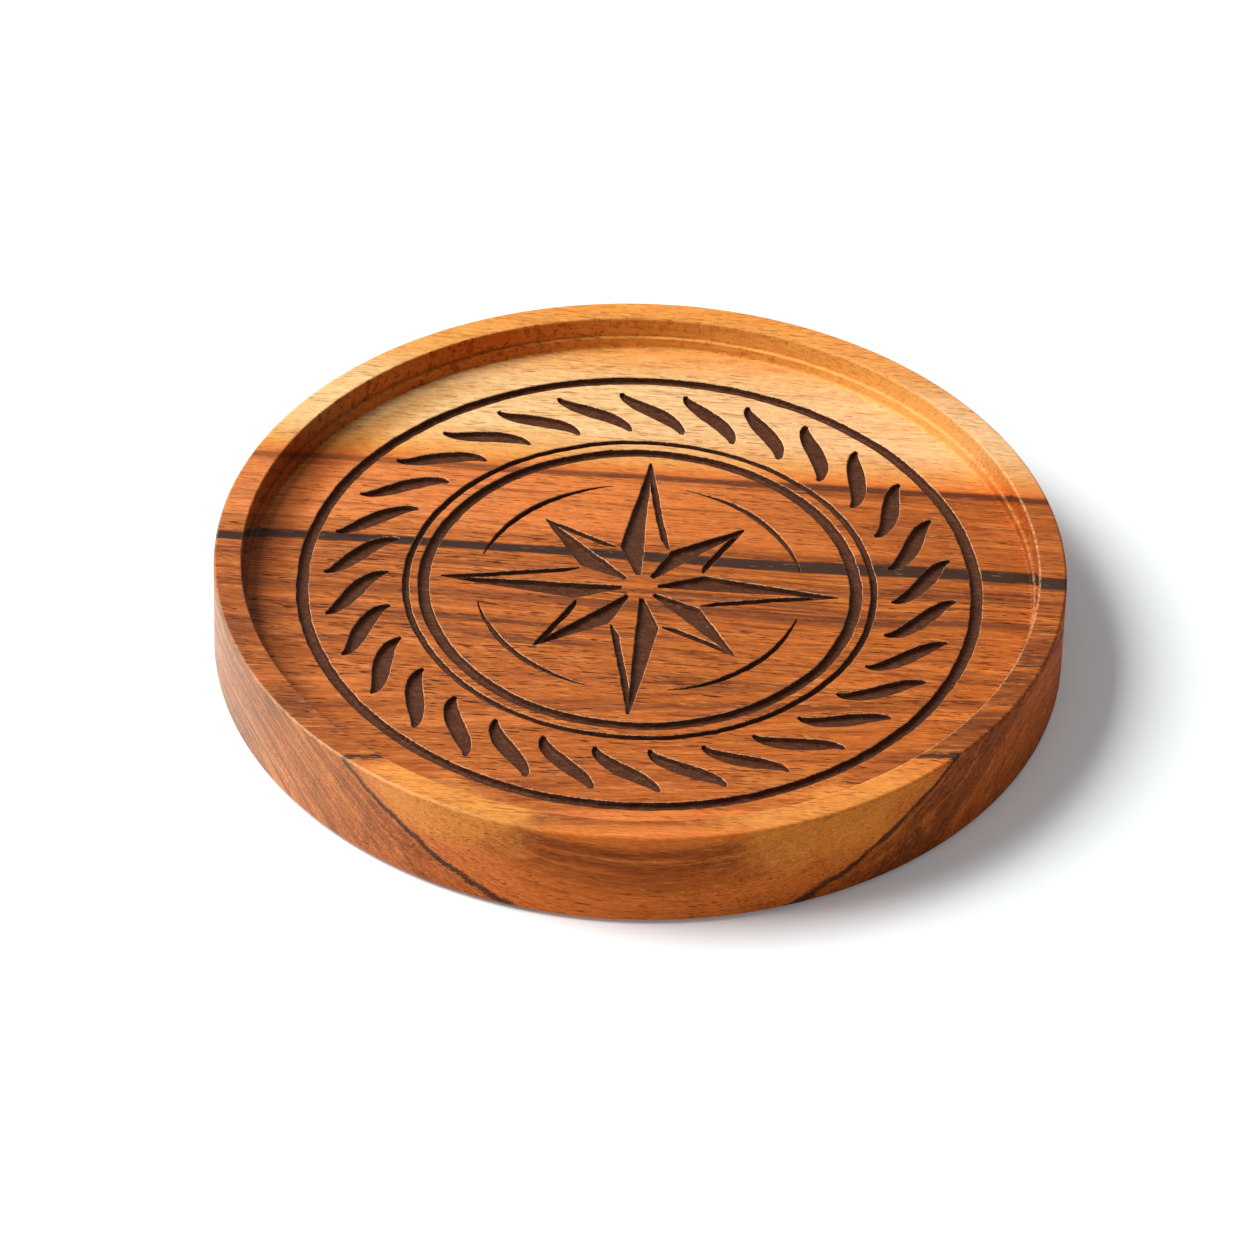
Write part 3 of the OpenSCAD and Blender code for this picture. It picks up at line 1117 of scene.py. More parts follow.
# Shade by fibres and mottle, the share of it that red and blue take, and how green and blue change along X
FIBRE_SHADE = (0.25, 0.75, 1.16, 0.82)
MOTTLE_SHADE = (0.25, 0.75, 1.16, 0.84)
RED_SHARE = 0.65
BLUE_SHARE = 1.15
GREEN_X = (-36.0, 36.0, 1.0, 0.94)
BLUE_X = (-36.0, 36.0, 0.35, -0.1)


def shaded(wires, bare, x, heart, fibres, mottle):
    """Shades the wood fibre by fibre. Red falls less than green, and blue more, as in oiled wood."""
    shade = wires.math("MULTIPLY", wires.fade(fibres, *FIBRE_SHADE), wires.fade(mottle, *MOTTLE_SHADE))
    red = wires.math("MULTIPLY_ADD", shade, RED_SHARE, 1 - RED_SHARE)
    green = wires.math("MULTIPLY", shade, wires.fade(x, *GREEN_X))
    blue = wires.math("MULTIPLY_ADD", shade, BLUE_SHARE, 1 - BLUE_SHARE)
    cooler = wires.math("MULTIPLY", heart, wires.fade(x, *BLUE_X))
    blue = wires.math("MULTIPLY", blue, wires.math("ADD", cooler, 1.0))
    shade = wires.add("ShaderNodeCombineColor", {"Red": red, "Green": green, "Blue": blue})
    return wires.mix(1.0, bare, shade.outputs[0], "MULTIPLY")


# Patches of pale wood at the front of the rim, and dark smudges at its left
PALE_PATCHES = {
    "left": {"centre": (-18.5, -45.0, 12.5), "reach": (11.5, 14.0, 5.7)},
    "right": {"centre": (24.5, -43.0, 12.5), "reach": (15.0, 14.0, 8.0)},
}
PATCH_STRENGTH = 0.85
PATCH_CALM = 0.75
SMUDGES = {
    "upper": {"centre": (-46.0, -16.5, 13.0), "reach": (4.2, 2.4, 2.0)},
    "lower": {"centre": (-38.5, -29.5, 12.6), "reach": (5.0, 3.0, 3.4)},
}
SMUDGE_CLOUD = 1.5
SMUDGE_STRENGTH = 0.5

# Heartwood ends at its edge, and is liveliest at the back and near the pith
HEART_EDGE = (43.2, 41.8)
LIVELY_Y = (-26.0, -6.0, 0.6, 1.0)
LIVELY_LAYERS = (34.5, 36.0, 1.0, 0.4)

# Red threads in the heartwood under the stripe
RED_BAND = (28.8, 33.2, 0.6)
RED_Y = (-16.0, -10.0, 0.0, 0.75)
THREAD_NOISE = (0.56, 0.62)
THREAD_RED = 0.45


def wood_colour(wires, colours, place, layer, wood_place, groups):
    """The colour of the bare wood: its growth layers, rings, streaks and fibres."""
    x, y = wires.parts(place)["X"], wires.parts(place)["Y"]
    fibres = grain(wires, groups, place, "fibres")
    bare = layered_colour(wires, colours, place, layer, fibres)
    pale = patches(wires, groups, place, PALE_PATCHES)
    bare = wires.mix(wires.math("MULTIPLY", pale, PATCH_STRENGTH), bare, solid(colours.amber))
    calmed = wires.math("MULTIPLY_ADD", pale, -PATCH_CALM, 1.0)
    heart = wires.math("MULTIPLY", wires.fade(layer, *HEART_EDGE), calmed)
    lively = product(wires, heart, wires.fade(y, *LIVELY_Y), wires.fade(layer, *LIVELY_LAYERS))
    dark_tone = wires.mix(heart, solid(colours.russet), solid(colours.umber))
    orange_share = wires.math("MULTIPLY", heart, ORANGE_SHARE)
    light_tone = wires.mix(orange_share, solid(colours.honey), solid(colours.orange))
    ring_place = wires.vector("MULTIPLY", wires.combine(x, layer, 0.0), RING_SCALE)
    patterns = {
        "rings": (wires.noise(ring_place, detail=4.0, roughness=0.65)[0], light_tone),
        "streaks": (grain(wires, groups, wood_place, "streaks"), solid(colours.orange)),
        "lines": (grain(wires, groups, wood_place, "lines"), light_tone),
        "hairs": (grain(wires, groups, wood_place, "hairs"), light_tone),
    }
    for name, (value, light) in patterns.items():
        bare = draw_marks(wires, bare, value, MARKS[name], dark_tone, light, lively, heart)
    red_zone = wires.math("MULTIPLY", band(wires, layer, *RED_BAND), wires.fade(y, *RED_Y))
    threads = wires.fade(grain(wires, groups, wood_place, "threads"), *THREAD_NOISE)
    thread_tone = wires.mix(THREAD_RED, solid(colours.umber), solid(colours.heartwood))
    bare = wires.mix(wires.math("MULTIPLY", threads, red_zone), bare, thread_tone)
    smudges = patches(wires, groups, place, SMUDGES, cloud_size=SMUDGE_CLOUD)
    bare = wires.mix(wires.math("MULTIPLY", smudges, SMUDGE_STRENGTH), bare, solid(colours.umber))
    bare = dark_lines(wires, colours, place, layer, fibres, bare)
    return shaded(wires, bare, x, heart, fibres, grain(wires, groups, place, "mottle")), fibres, heart


# Where the board's surfaces lie: past the radius of the rim's inner corner, the seat and the outside, and
# above the deepest carving
RECESS_EDGE = (0.15, 0.05)
WALL_EDGE = (-0.4, -0.1)
OUTSIDE_EDGE = (-0.35, -0.1)
CARVED_EDGE = (-0.9, -1.1)
ABOVE_CARVING = (-0.8, -0.3)


class Surfaces:
    """Where a point of the board lies, in millimetres, with masks of the board's surfaces."""

    def __init__(self, wires, board, carving, groups):
        where = wires.group(groups["place"])
        self.place, self.radius, self.height = where["Place"], where["Radius"], where["Height"]
        self.x, self.y = wires.parts(self.place)["X"], wires.parts(self.place)["Y"]
        self.outer_radius = board.radius * MM_PER_M
        self.rim_radius = (board.radius - board.rim_width) * MM_PER_M
        self.seat_radius = board.seat_radius * MM_PER_M
        self.top = board.top * MM_PER_M
        self.ledge = self.top - board.upper_depth * MM_PER_M
        self.past_seat = wires.math("SUBTRACT", self.radius, self.seat_radius)
        deepest = (board.floor - carving.depth) * MM_PER_M
        self.in_top = wires.fade(wires.math("SUBTRACT", self.height, deepest), *ABOVE_CARVING)
        in_recess = wires.fade(wires.math("SUBTRACT", self.radius, self.rim_radius), *RECESS_EDGE)
        self.on_wall = product(wires, in_recess, self.in_top, wires.fade(self.past_seat, *WALL_EDGE))
        self.outside = wires.fade(wires.math("SUBTRACT", self.radius, self.outer_radius), *OUTSIDE_EDGE)
        self.below = wires.math("SUBTRACT", board.floor * MM_PER_M, self.height)
        self.in_ornament = wires.math("MULTIPLY", wires.fade(self.past_seat, *CARVED_EDGE), self.in_top)


# Scuffs and pores. Pores start at a lower noise value where they cluster
SCUFF_NOISE = (0.72, 0.77, 0.0, 0.4)
PORE_START = 0.775
PORE_CLUSTERING = 0.24
PORE_SOFTNESS = 0.04
PORE_DEPTH = (34.5, 36.5, 0.92, 0.6)


def opened(wires, colours, spots, layer, heart, groups, bare):
    """Wood with pale scuffs and open pores. Gives its colour and the mask of its pores."""
    scuffs = wires.fade(grain(wires, groups, spots.place, "scuffs"), *SCUFF_NOISE)
    bare = wires.mix(scuffs, bare, solid(colours.pale_fibre_and_highlight))
    clusters = grain(wires, groups, spots.place, "clusters")
    start = wires.math("MULTIPLY_ADD", clusters, -PORE_CLUSTERING, PORE_START)
    end = wires.math("ADD", start, PORE_SOFTNESS)
    pores = wires.fade(grain(wires, groups, spots.place, "pores"), start, end)
    pore_colour = wires.mix(heart, solid(colours.russet), solid(colours.pore))
    shown = wires.math("MULTIPLY", pores, wires.fade(layer, *PORE_DEPTH))
    return wires.mix(shown, bare, pore_colour), pores


# Rubbed corners, partly pale wear and partly painted highlight where the light catches them: how far it
# reaches, where it is, and the chafing that breaks it up
OUTER_WEAR = 0.38
INNER_WEAR = 0.35
LEDGE_WEAR = 0.4
LEDGE_STRENGTH = 0.7
LEFT_FRONT_X = (-4.0, -22.0, 0.0, 0.35)
LEFT_FRONT_Y = (0.0, -20.0)
INNER_WEAR_X = (12.0, 30.0, 0.08, 0.48)
CHAFE_SIZE = 0.6
CHAFE_AMOUNT = 0.95
CHAFE_DEPTH = 0.7


def rubbed_and_highlit_corners(wires, spots, groups):
    """A mask of the corners that are rubbed pale and painted with highlight where the light catches them:
    the outer one at the left, the recess's at the right.
    """

    def worn(corner_radius, corner_height, reach):
        where = {"radius": spots.radius, "height": spots.height}
        corner = {"corner_radius": corner_radius, "corner_height": corner_height, "reach": reach}
        return wires.group(groups["corner"], **where, **corner)["Mask"]

    left_front = product(wires, wires.fade(spots.x, *LEFT_FRONT_X), wires.fade(spots.y, *LEFT_FRONT_Y))
    outer = product(wires, worn(spots.outer_radius, spots.top, OUTER_WEAR), left_front)
    ledge = wires.math("MULTIPLY", worn(spots.seat_radius, spots.ledge, LEDGE_WEAR), LEDGE_STRENGTH)
    inner = wires.math("MAXIMUM", worn(spots.rim_radius, spots.top, INNER_WEAR), ledge)
    chafe = wires.group(groups["speckle"], place=spots.place, size=CHAFE_SIZE, amount=CHAFE_AMOUNT)["Mask"]
    broken = wires.math("MULTIPLY_ADD", chafe, CHAFE_DEPTH, 1 - CHAFE_DEPTH)
    inner = product(wires, inner, wires.fade(spots.x, *INNER_WEAR_X), broken)
    return wires.math("ADD", outer, inner, clamp=True)


# Torn fibres on the recess wall, weighted to its left, where they also paint shade
TEAR_SCALE = (1.1, 1.1, 0.8)
TEAR_NOISE = (0.55, 0.63)
TEAR_AND_SHADE_X = (-5.0, 20.0, 1.0, 0.35)
TEAR_Y = (-5.0, 25.0, 0.25, 1.0)
TEAR_STRENGTH = 0.55


def tears_and_left_shade(wires, spots):
    """A mask of the fibres that the cutter tore out of the recess wall, most of all at the back left; its
    weight at the left is painted shade.
    """
    tears = wires.noise(wires.vector("MULTIPLY", spots.place, TEAR_SCALE), detail=3.0, roughness=0.65)[0]
    behind = wires.math("MULTIPLY", wires.fade(spots.y, *TEAR_Y), wires.fade(spots.x, *TEAR_AND_SHADE_X))
    return product(wires, spots.on_wall, wires.fade(tears, *TEAR_NOISE), behind)


# Oil on the outer wall to the right and on the recess wall at the back, and painted shadow in a ring of the
# floor at the left, beside the recess wall, which runs from one range of the distance past the seat to the
# other
SOAKED_X = (-44.0, 0.0)
SOAKED_WALL_Y = (0.0, 20.0, 0.0, 0.8)
FLOOR_SHADOW_START = (-6.5, -3.0)
FLOOR_SHADOW_END = (-0.4, -2.6)
FLOOR_SHADOW_X = (-16.0, -32.0)
FLOOR_SHADOW_Y = (-12.0, 12.0, 0.3, 1.0)


def oil_and_floor_shadow(wires, colours, spots, bare):
    """Deepens the wood where it drank more oil, and paints shadow beside the recess wall's left. Gives its
    colour and the mask of the soaked walls.
    """
    outer = wires.math("MULTIPLY", spots.outside, wires.fade(spots.x, *SOAKED_X))
    inner = wires.math("MULTIPLY", spots.on_wall, wires.fade(spots.y, *SOAKED_WALL_Y))
    soaked = wires.math("ADD", outer, inner)
    bare = wires.mix(soaked, bare, solid(colours.soaked), "MULTIPLY")
    past_seat = spots.past_seat
    # Painted shadow in a ring of the floor beside the left of the recess wall
    ring = wires.math("MINIMUM", wires.fade(past_seat, *FLOOR_SHADOW_START), wires.fade(past_seat, *FLOOR_SHADOW_END))
    painted_floor_shadow = product(wires, ring, spots.in_top, wires.fade(spots.x, *FLOOR_SHADOW_X), wires.fade(spots.y, *FLOOR_SHADOW_Y))
    return wires.mix(painted_floor_shadow, bare, solid(colours.painted_floor_shadow), "MULTIPLY"), soaked


# Lines of the end grain on the outer wall's left, and painted shade and sheen that grey and darken its far
# end
END_LINE_SCALE = (0.02, 0.16, 1.5)
END_GRAIN_X = (-20.0, -38.0)
END_DARK_NOISE = (0.52, 0.6, 0.0, 0.55)
END_LIGHT_NOISE = (0.48, 0.41, 0.12, 0.4)
FAR_LEFT_SHADE_X = (-38.5, -43.0)


def end_grain_lines(wires, colours, spots, wood_place, bare):
    """Draws the growth layers' close lines on the outer wall's left, which cuts across the grain, and paints
    shade on its far end.
    """
    lines = wires.noise(wires.vector("MULTIPLY", wood_place, END_LINE_SCALE), detail=5.0, roughness=0.6)[0]
    end_grain = wires.math("MULTIPLY", spots.outside, wires.fade(spots.x, *END_GRAIN_X))
    dark = wires.math("MULTIPLY", wires.fade(lines, *END_DARK_NOISE), end_grain)
    bare = wires.mix(dark, bare, solid(colours.umber))
    light = wires.math("MULTIPLY", wires.fade(lines, *END_LIGHT_NOISE), end_grain)
    bare = wires.mix(light, bare, solid(colours.honey))
    # Painted shade and sheen: the far left of the outer wall is greyed and darkened
    far_left = wires.math("MULTIPLY", spots.outside, wires.fade(spots.x, *FAR_LEFT_SHADE_X))
    return wires.mix(far_left, bare, solid(colours.painted_far_left_shade), "MULTIPLY")


# Painted shade on the recess wall's left, and painted light on its back right, where the main light falls
SHADED_WALL_X = (2.0, -28.0)
DEEPEST_SHADE_WALL_X = (-32.0, -42.0)
LIT_WALL_X = (-22.0, 12.0)
LIT_WALL_END_X = (41.0, 32.0)
LIT_WALL_Y = (12.0, 30.0)
LIT_WALL_NOISE = (0.4, 0.62, 0.85, 0.3)


def recess_wall(wires, colours, spots, groups, bare):
    """Paints shade on the recess wall at the left, and paints light on it at the back right, where the main
    light falls on it.
    """
    # Painted shade on the wall's left, deepest at its far left
    painted_shade_side = wires.math("MULTIPLY", spots.on_wall, wires.fade(spots.x, *SHADED_WALL_X))
    wall_shade = wires.mix(wires.fade(spots.x, *DEEPEST_SHADE_WALL_X), solid(colours.tears_and_shade), solid(colours.deepest_wall_shade))
    bare = wires.mix(painted_shade_side, bare, wall_shade, "MULTIPLY")
    # Painted light on the wall's back right
    painted_light_x = product(wires, wires.fade(spots.x, *LIT_WALL_X), wires.fade(spots.x, *LIT_WALL_END_X))
    painted_light_side = product(wires, spots.on_wall, painted_light_x, wires.fade(spots.y, *LIT_WALL_Y))
    uneven = wires.fade(grain(wires, groups, spots.place, "wall"), *LIT_WALL_NOISE)
    return wires.mix(wires.math("MULTIPLY", painted_light_side, uneven), bare, solid(colours.painted_wall_light))


# Burnt carving: depth at which it starts, soot and flakes on it, and the pale lip above it, partly unburnt
# wood and partly painted highlight
BURN_SCALE = 2.6
BURN_START = -0.03
BURN_RAGGED = 0.25
BURN_SOFT = 0.06
SOOT_SIZE = 0.5
SOOT_AMOUNT = 0.7
SOOT_STRENGTH = 0.35
FLAKE_NOISE = (0.45, 0.75, 0.0, 0.55)
LIP_HIGHLIGHT_DEPTH = (0.015, 0.04)
LIP_HIGHLIGHT_NOISE = (0.4, 0.6, 0.15, 0.7)


def burnt_lines(wires, colours, spots, groups, bare):
    """Burns the carved lines and leaves them a pale lip, partly painted highlight. Gives the colour, the
    burnt mask and its crust.
    """
    ragged = wires.noise(wires.scaled(spots.place, BURN_SCALE), roughness=0.65)[0]
    start = wires.math("MULTIPLY_ADD", ragged, BURN_RAGGED, BURN_START)
    burnt = wires.fade(spots.below, start, wires.math("ADD", start, BURN_SOFT))
    burnt = wires.math("MULTIPLY", burnt, spots.in_ornament)
    soot = wires.group(groups["speckle"], place=spots.place, size=SOOT_SIZE, amount=SOOT_AMOUNT)
    flakes = grain(wires, groups, spots.place, "flakes")
    char = wires.mix(wires.fade(flakes, *FLAKE_NOISE), solid(colours.char), solid(colours.ash))
    char = wires.mix(wires.math("MULTIPLY", soot["Mask"], SOOT_STRENGTH), char, solid(colours.ash))
    # The pale lip is partly unburnt wood and partly painted highlight
    worn = wires.fade(soot["Value"], *LIP_HIGHLIGHT_NOISE)
    lip = product(wires, wires.fade(spots.below, *LIP_HIGHLIGHT_DEPTH), spots.in_ornament, worn)
    bare = wires.mix(lip, bare, solid(colours.pale_fibre_and_highlight))
    return wires.mix(burnt, bare, char), burnt, wires.math("ADD", flakes, soot["Value"])


def weighted(wires, start, *masks):
    """A number with each mask of (mask, weight) added to it by its weight."""
    total = start
    for mask, weight in masks:
        total = wires.math("ADD", total, wires.math("MULTIPLY", mask, weight))
    return total


# Roughness of the wood, as a factor on the fibres and what is added, what each finish adds to it, and the
# wax on the outer wall's left
FIBRE_GLOSS = (0.14, 0.42)
PORE_GLOSS = 0.2
WORN_GLOSS = 0.15
SOAKED_GLOSS = 0.25
BURNT_GLOSS = 0.1
WOOD_SPECULAR = 0.14
WAX_X = (-8.0, -46.0, 0.0, 0.5)
WAX_ROUGHNESS = 0.35

# Relief of the wood in millimetres
FIBRE_RELIEF = 0.02
PORE_RELIEF = 0.06
TEAR_RELIEF = 0.09
CRUST_RELIEF = 0.12


def hardwood(colours, board, carving, groups):
    """Oiled hardwood, burnt where it is carved, frayed and rubbed at its corners, with light and shade
    painted on its walls, floor and corners.
    """
    made, wires, surface = blank_material("oiled_hardwood")
    spots = Surfaces(wires, board, carving, groups)
    wood = wires.group(groups["layers"], place=spots.place)
    layer, wood_place = wood["Layer"], wood["Wood Place"]
    bare, fibres, heart = wood_colour(wires, colours, spots.place, layer, wood_place, groups)
    bare, pores = opened(wires, colours, spots, layer, heart, groups, bare)
    rubbed_and_highlit = rubbed_and_highlit_corners(wires, spots, groups)
    # Pale rubbed corners, partly real wear and partly painted highlight
    bare = wires.mix(rubbed_and_highlit, bare, solid(colours.pale_fibre_and_highlight))
    tears_and_shade = tears_and_left_shade(wires, spots)
    # Darkens the torn fibres: partly real tears, partly painted shade on the wall's left
    bare = wires.mix(wires.math("MULTIPLY", tears_and_shade, TEAR_STRENGTH), bare, solid(colours.heartwood))
    bare, soaked = oil_and_floor_shadow(wires, colours, spots, bare)
    bare = end_grain_lines(wires, colours, spots, wood_place, bare)
    bare = recess_wall(wires, colours, spots, groups, bare)
    base, burnt, crust = burnt_lines(wires, colours, spots, groups, bare)
    gloss = weighted(wires, wires.math("MULTIPLY_ADD", fibres, *FIBRE_GLOSS), (pores, PORE_GLOSS))
    rough = wires.math("MAXIMUM", tears_and_shade, rubbed_and_highlit)
    gloss = weighted(wires, gloss, (rough, WORN_GLOSS), (soaked, SOAKED_GLOSS), (burnt, BURNT_GLOSS))
    gloss = wires.math("MINIMUM", gloss, 1.0)
    relief = wires.math("MULTIPLY", fibres, FIBRE_RELIEF)
    relief = weighted(wires, relief, (pores, -PORE_RELIEF), (tears_and_shade, -TEAR_RELIEF))
    relief = weighted(wires, relief, (wires.math("MULTIPLY", crust, burnt), CRUST_RELIEF))
    bump = wires.add("ShaderNodeBump", {"Height": relief, "Strength": 1.0, "Distance": MM})
    shader = wires.add(
        "ShaderNodeBsdfPrincipled",
        {
            "Base Color": base,
            "Roughness": gloss,
            "Normal": bump.outputs[0],
            "Specular IOR Level": WOOD_SPECULAR,
            "Coat Weight": wires.math("MULTIPLY", spots.outside, wires.fade(spots.x, *WAX_X)),
            "Coat Roughness": WAX_ROUGHNESS,
        },
    )
    wires.feed(surface, shader.outputs[0])
    return made


# Rubber of the pads: its pebbled skin and the dust on it
PEBBLE_SIZE = 0.22
PEBBLE_AMOUNT = 0.5
PEBBLE_RELIEF = 0.05
DUST_SIZE = 1.3
DUST_AMOUNT = 0.75
DUST_STRENGTH = 0.22
RUBBER_GLOSS = (0.2, 0.62)
RUBBER_SPECULAR = 0.4


def pad_rubber(colours, groups):
    """Matt moulded rubber with a little dust."""
    made, wires, surface = blank_material("pad_rubber")
    place = wires.group(groups["place"])["Place"]
    pebble = wires.group(groups["speckle"], place=place, size=PEBBLE_SIZE, amount=PEBBLE_AMOUNT)
    dust = wires.group(groups["speckle"], place=place, size=DUST_SIZE, amount=DUST_AMOUNT)
    shade = wires.math("MULTIPLY", wires.math("ADD", dust["Mask"], pebble["Mask"]), DUST_STRENGTH)
    base = wires.mix(shade, solid(colours.rubber), solid(colours.dust))
    rough = wires.math("MULTIPLY_ADD", pebble["Value"], *RUBBER_GLOSS)
    height = wires.math("MULTIPLY", pebble["Value"], PEBBLE_RELIEF)
    bump = wires.add("ShaderNodeBump", {"Height": height, "Strength": 1.0, "Distance": MM})
    shader = wires.add(
        "ShaderNodeBsdfPrincipled",
        {
            "Base Color": base,
            "Roughness": rough,
            "Normal": bump.outputs[0],
            "Specular IOR Level": RUBBER_SPECULAR,
        },
    )
    wires.feed(surface, shader.outputs[0])
    return made


def seen_directly(wires):
    """1 for the rays that the camera sees by, straight or through a mirror or glass, and 0 for light."""
    rays = wires.add("ShaderNodeLightPath").outputs
    seen = wires.math("MAXIMUM", rays["Is Camera Ray"], rays["Is Transmission Ray"])
    return wires.math("MAXIMUM", seen, rays["Is Glossy Ray"])


def studio_floor(studio):
    """White paper that the camera sees a little brighter than the light alone makes it."""
    made, wires, surface = blank_material("studio_floor")
    seen = seen_directly(wires)
    paper = wires.add("ShaderNodeBsdfDiffuse", {"Color": wires.mix(seen, PAPER_LIT, PAPER_SEEN)})
    glow = wires.add("ShaderNodeEmission", {"Strength": wires.math("MULTIPLY", seen, studio.floor_lift)})
    both = wires.add("ShaderNodeAddShader")
    wires.feed(both.inputs[0], paper.outputs[0])
    wires.feed(both.inputs[1], glow.outputs[0])
    wires.feed(surface, both.outputs[0])
    return made


def shared_groups():
    """The node groups that the materials share, each built once."""
    builders = {
        "place": place_group,
        "grain": grain_group,
        "layers": layer_group,
        "corner": corner_group,
        "speckle": speckle_group,
        "patch": patch_group,
    }
    return {name: build() for name, build in builders.items()}


class COASTER_OT_board(bpy.types.Operator):
    """Turns the board, cuts its stepped recess and drills the pads' pockets"""

    bl_idname = "coaster.board"
    bl_label = "Turn Board"

    def execute(self, context):
        scene = context.scene
        board = turn_board(scene.coaster_board)
        fray(board, scene.coaster_board)
        drill_pockets(board, scene.coaster_board, scene.coaster_pads)
        return {"FINISHED"}


class COASTER_OT_carving(bpy.types.Operator):
    """Carves the star, the rings and the rope border into the recess floor and finishes the board"""

    bl_idname = "coaster.carving"
    bl_label = "Carve Recess Floor"

    def execute(self, context):
        scene = context.scene
        board = bpy.data.objects["carved_board"]
        for strokes in drawn_strokes(scene.coaster_board, scene.coaster_carving):
            cut(board, make_cutter(scene.coaster_board, scene.coaster_carving, strokes))
        finish_surface(board, CREASE)
        wood = hardwood(scene.coaster_wood, scene.coaster_board, scene.coaster_carving, GROUPS)
        register_piece(board, wood, "wood", "board")
        return {"FINISHED"}


class COASTER_OT_pads(bpy.types.Operator):
    """Moulds the four non-slip pads"""

    bl_idname = "coaster.pads"
    bl_label = "Mould Pads"

    def execute(self, context):
        pad = context.scene.coaster_pads
        rubber = pad_rubber(pad, GROUPS)
        for name in PAD_NODES:
            low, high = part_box(name)
            bpy.ops.object.select_all(action="DESELECT")
            middle = (low + high) / 2
            bpy.ops.mesh.primitive_cylinder_add(
                vertices=ROUND_FLATS, radius=pad.radius, depth=pad.height, location=middle
            )
            piece = active()
            piece.name = name.replace("foot_pad", "rubber_pad")
            settle(piece)
            round_edges(piece, lambda spot: spot.z < middle.z, pad.rounding, CORNER_SEGMENTS)
            finish_surface(piece, CREASE)
            register_piece(piece, rubber, "pad_rubber", name)
        return {"FINISHED"}


class COASTER_OT_stage(bpy.types.Operator):
    """Sets up the floor, the lights and the camera"""

    bl_idname = "coaster.stage"
    bl_label = "Set Stage"

    def execute(self, context):
        studio = context.scene.coaster_studio
        context.scene.view_settings.view_transform = "Standard"
        lay_floor(studio)
        set_world(context.scene, studio)
        hang_lights(studio)
        place_camera(context.scene, studio)
        return {"FINISHED"}


# The paper of the floor and the sky around it, as they light the coaster and as the camera sees them
PAPER_LIT = (0.93, 0.93, 0.93, 1.0)
PAPER_SEEN = (0.95, 0.99, 1.0, 1.0)
SKY_LIT = (0.92, 0.97, 1.0, 1.0)
SKY_SEEN = (1.0, 1.0, 1.0, 1.0)

# How far the camera sees, in metres
CAMERA_REACH = 10


def lay_floor(studio):
    """The pale floor, which is no part of the coaster."""
    bpy.ops.object.select_all(action="DESELECT")
    bpy.ops.mesh.primitive_plane_add(size=studio.floor_size)
    floor = active()
    floor.name = "studio_floor"
    floor.data.materials.append(studio_floor(studio))


def set_world(scene, studio):
    """Soft light from all around, and white wherever the camera or a reflection looks past the floor."""
    world = bpy.data.worlds.new("studio_world")
    world.use_nodes = True
    world.node_tree.nodes.clear()
    wires = Wiring(world.node_tree)
    seen = seen_directly(wires)
    strength = wires.fade(seen, 0.0, 1.0, studio.ambient, 1.0)
    sky = wires.mix(seen, SKY_LIT, SKY_SEEN)
    light = wires.add("ShaderNodeBackground", {"Color": sky, "Strength": strength})
    wires.feed(wires.add("ShaderNodeOutputWorld").inputs["Surface"], light.outputs[0])
    scene.world = world


def hang_lights(studio):
    """The key light and the low card to the left, and the soft light overhead."""
    key_spot = light_spot(studio.key_distance, studio.key_turn, studio.key_tilt)
    card_spot = light_spot(studio.card_distance, studio.card_turn, studio.card_tilt)
    top_spot = light_spot(studio.top_distance, 0, math.pi / 2)
    hang_light("key_light", studio.key_power, studio.key_size, key_spot)
    hang_light("left_card", studio.card_power, studio.card_size, card_spot)
    hang_light("top_light", studio.top_power, studio.top_size, top_spot)


def light_spot(distance, turn, tilt):
    """Where a light hangs. turn goes from +X towards +Y, and tilt is its angle over the table."""
    outward = polar(math.cos(tilt), turn)
    return Vector((outward.x, outward.y, math.sin(tilt))) * distance


def hang_light(name, power, size, spot):
    """A square light that looks at the coaster."""
    bpy.ops.object.light_add(type="AREA", location=spot)
    light = active()
    light.name = name
    light.data.shape = "SQUARE"
    light.data.size = size
    light.data.energy = power
    light.rotation_euler = (-spot).to_track_quat("-Z", "Y").to_euler()


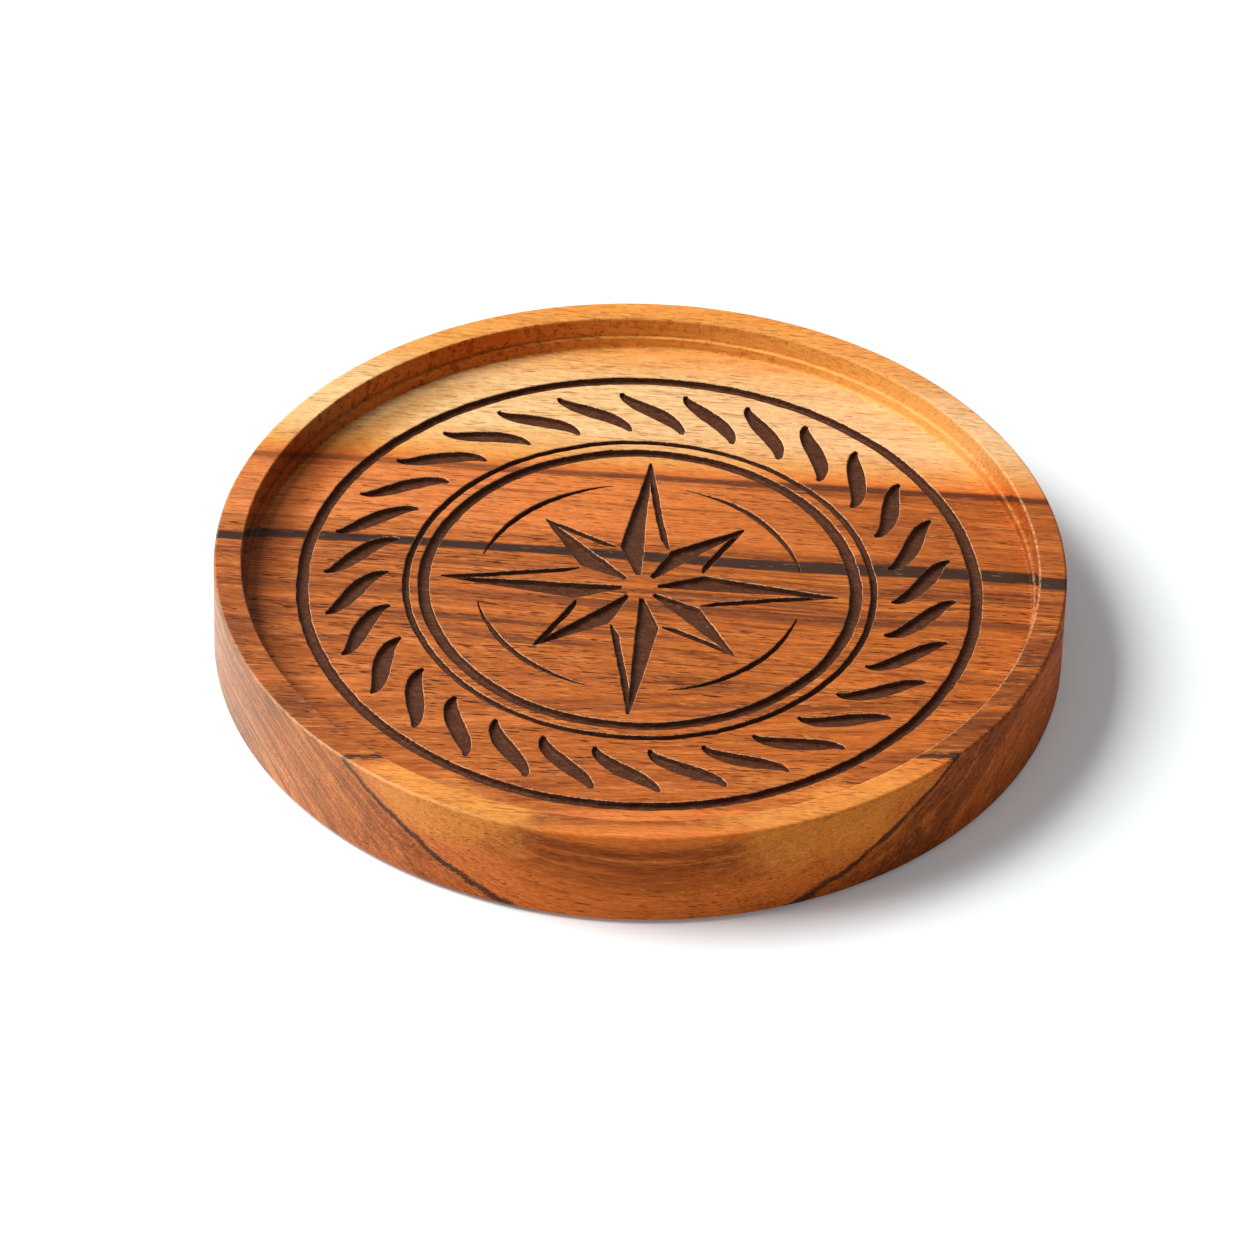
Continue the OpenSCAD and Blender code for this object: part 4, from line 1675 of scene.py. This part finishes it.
def place_camera(scene, studio):
    """The camera, at the photograph's angle."""
    right = Vector((math.cos(studio.turn), math.sin(studio.turn), 0))
    level = Vector((right.y, -right.x, 0))
    back = level * math.cos(studio.tilt) + Vector((0, 0, math.sin(studio.tilt)))
    up = back.cross(right)
    bpy.ops.object.camera_add(location=back * studio.distance + right * studio.aside + up * studio.above)
    camera = active()
    camera.name = "camera"
    camera.data.lens = studio.lens
    camera.data.clip_end = CAMERA_REACH
    turned_right = right * math.cos(studio.roll) + up * math.sin(studio.roll)
    turned_up = up * math.cos(studio.roll) - right * math.sin(studio.roll)
    pose = camera.matrix_world.to_3x3()
    pose.col[0], pose.col[1], pose.col[2] = turned_right, turned_up, back
    camera.rotation_euler = pose.to_euler()
    scene.camera = camera


class COASTER_PT_panel(bpy.types.Panel):
    """Lists the coaster's operators and settings"""

    bl_idname = "COASTER_PT_panel"
    bl_label = "Coaster"
    bl_space_type = "VIEW_3D"
    bl_region_type = "UI"
    bl_category = "Coaster"

    def draw(self, context):
        for operator in OPERATORS:
            self.layout.operator(operator.bl_idname)
        for name, group in SETTINGS.items():
            box = self.layout.box()
            box.label(text=group.__doc__)
            for setting in group.__annotations__:
                box.prop(getattr(context.scene, name), setting)


SETTINGS = {
    "coaster_board": BoardSizes,
    "coaster_carving": CarvingSizes,
    "coaster_wood": WoodColours,
    "coaster_pads": PadFinish,
    "coaster_studio": StudioSettings,
}
OPERATORS = [COASTER_OT_stage, COASTER_OT_board, COASTER_OT_carving, COASTER_OT_pads]
GROUPS = {}


def register():
    """Makes the settings, the operators and the panel known."""
    for group in SETTINGS.values():
        bpy.utils.register_class(group)
    for name, group in SETTINGS.items():
        setattr(bpy.types.Scene, name, bpy.props.PointerProperty(type=group))
    for operator in OPERATORS:
        bpy.utils.register_class(operator)
    bpy.utils.register_class(COASTER_PT_panel)


def unregister():
    """Takes them all away again."""
    bpy.utils.unregister_class(COASTER_PT_panel)
    for operator in reversed(OPERATORS):
        bpy.utils.unregister_class(operator)
    for name, group in reversed(SETTINGS.items()):
        delattr(bpy.types.Scene, name)
        bpy.utils.unregister_class(group)


def main():
    """Builds the whole coaster."""
    register()
    GROUPS.update(shared_groups())
    bpy.ops.coaster.stage()
    bpy.ops.coaster.board()
    bpy.ops.coaster.carving()
    bpy.ops.coaster.pads()


if __name__ == "__main__":
    main()
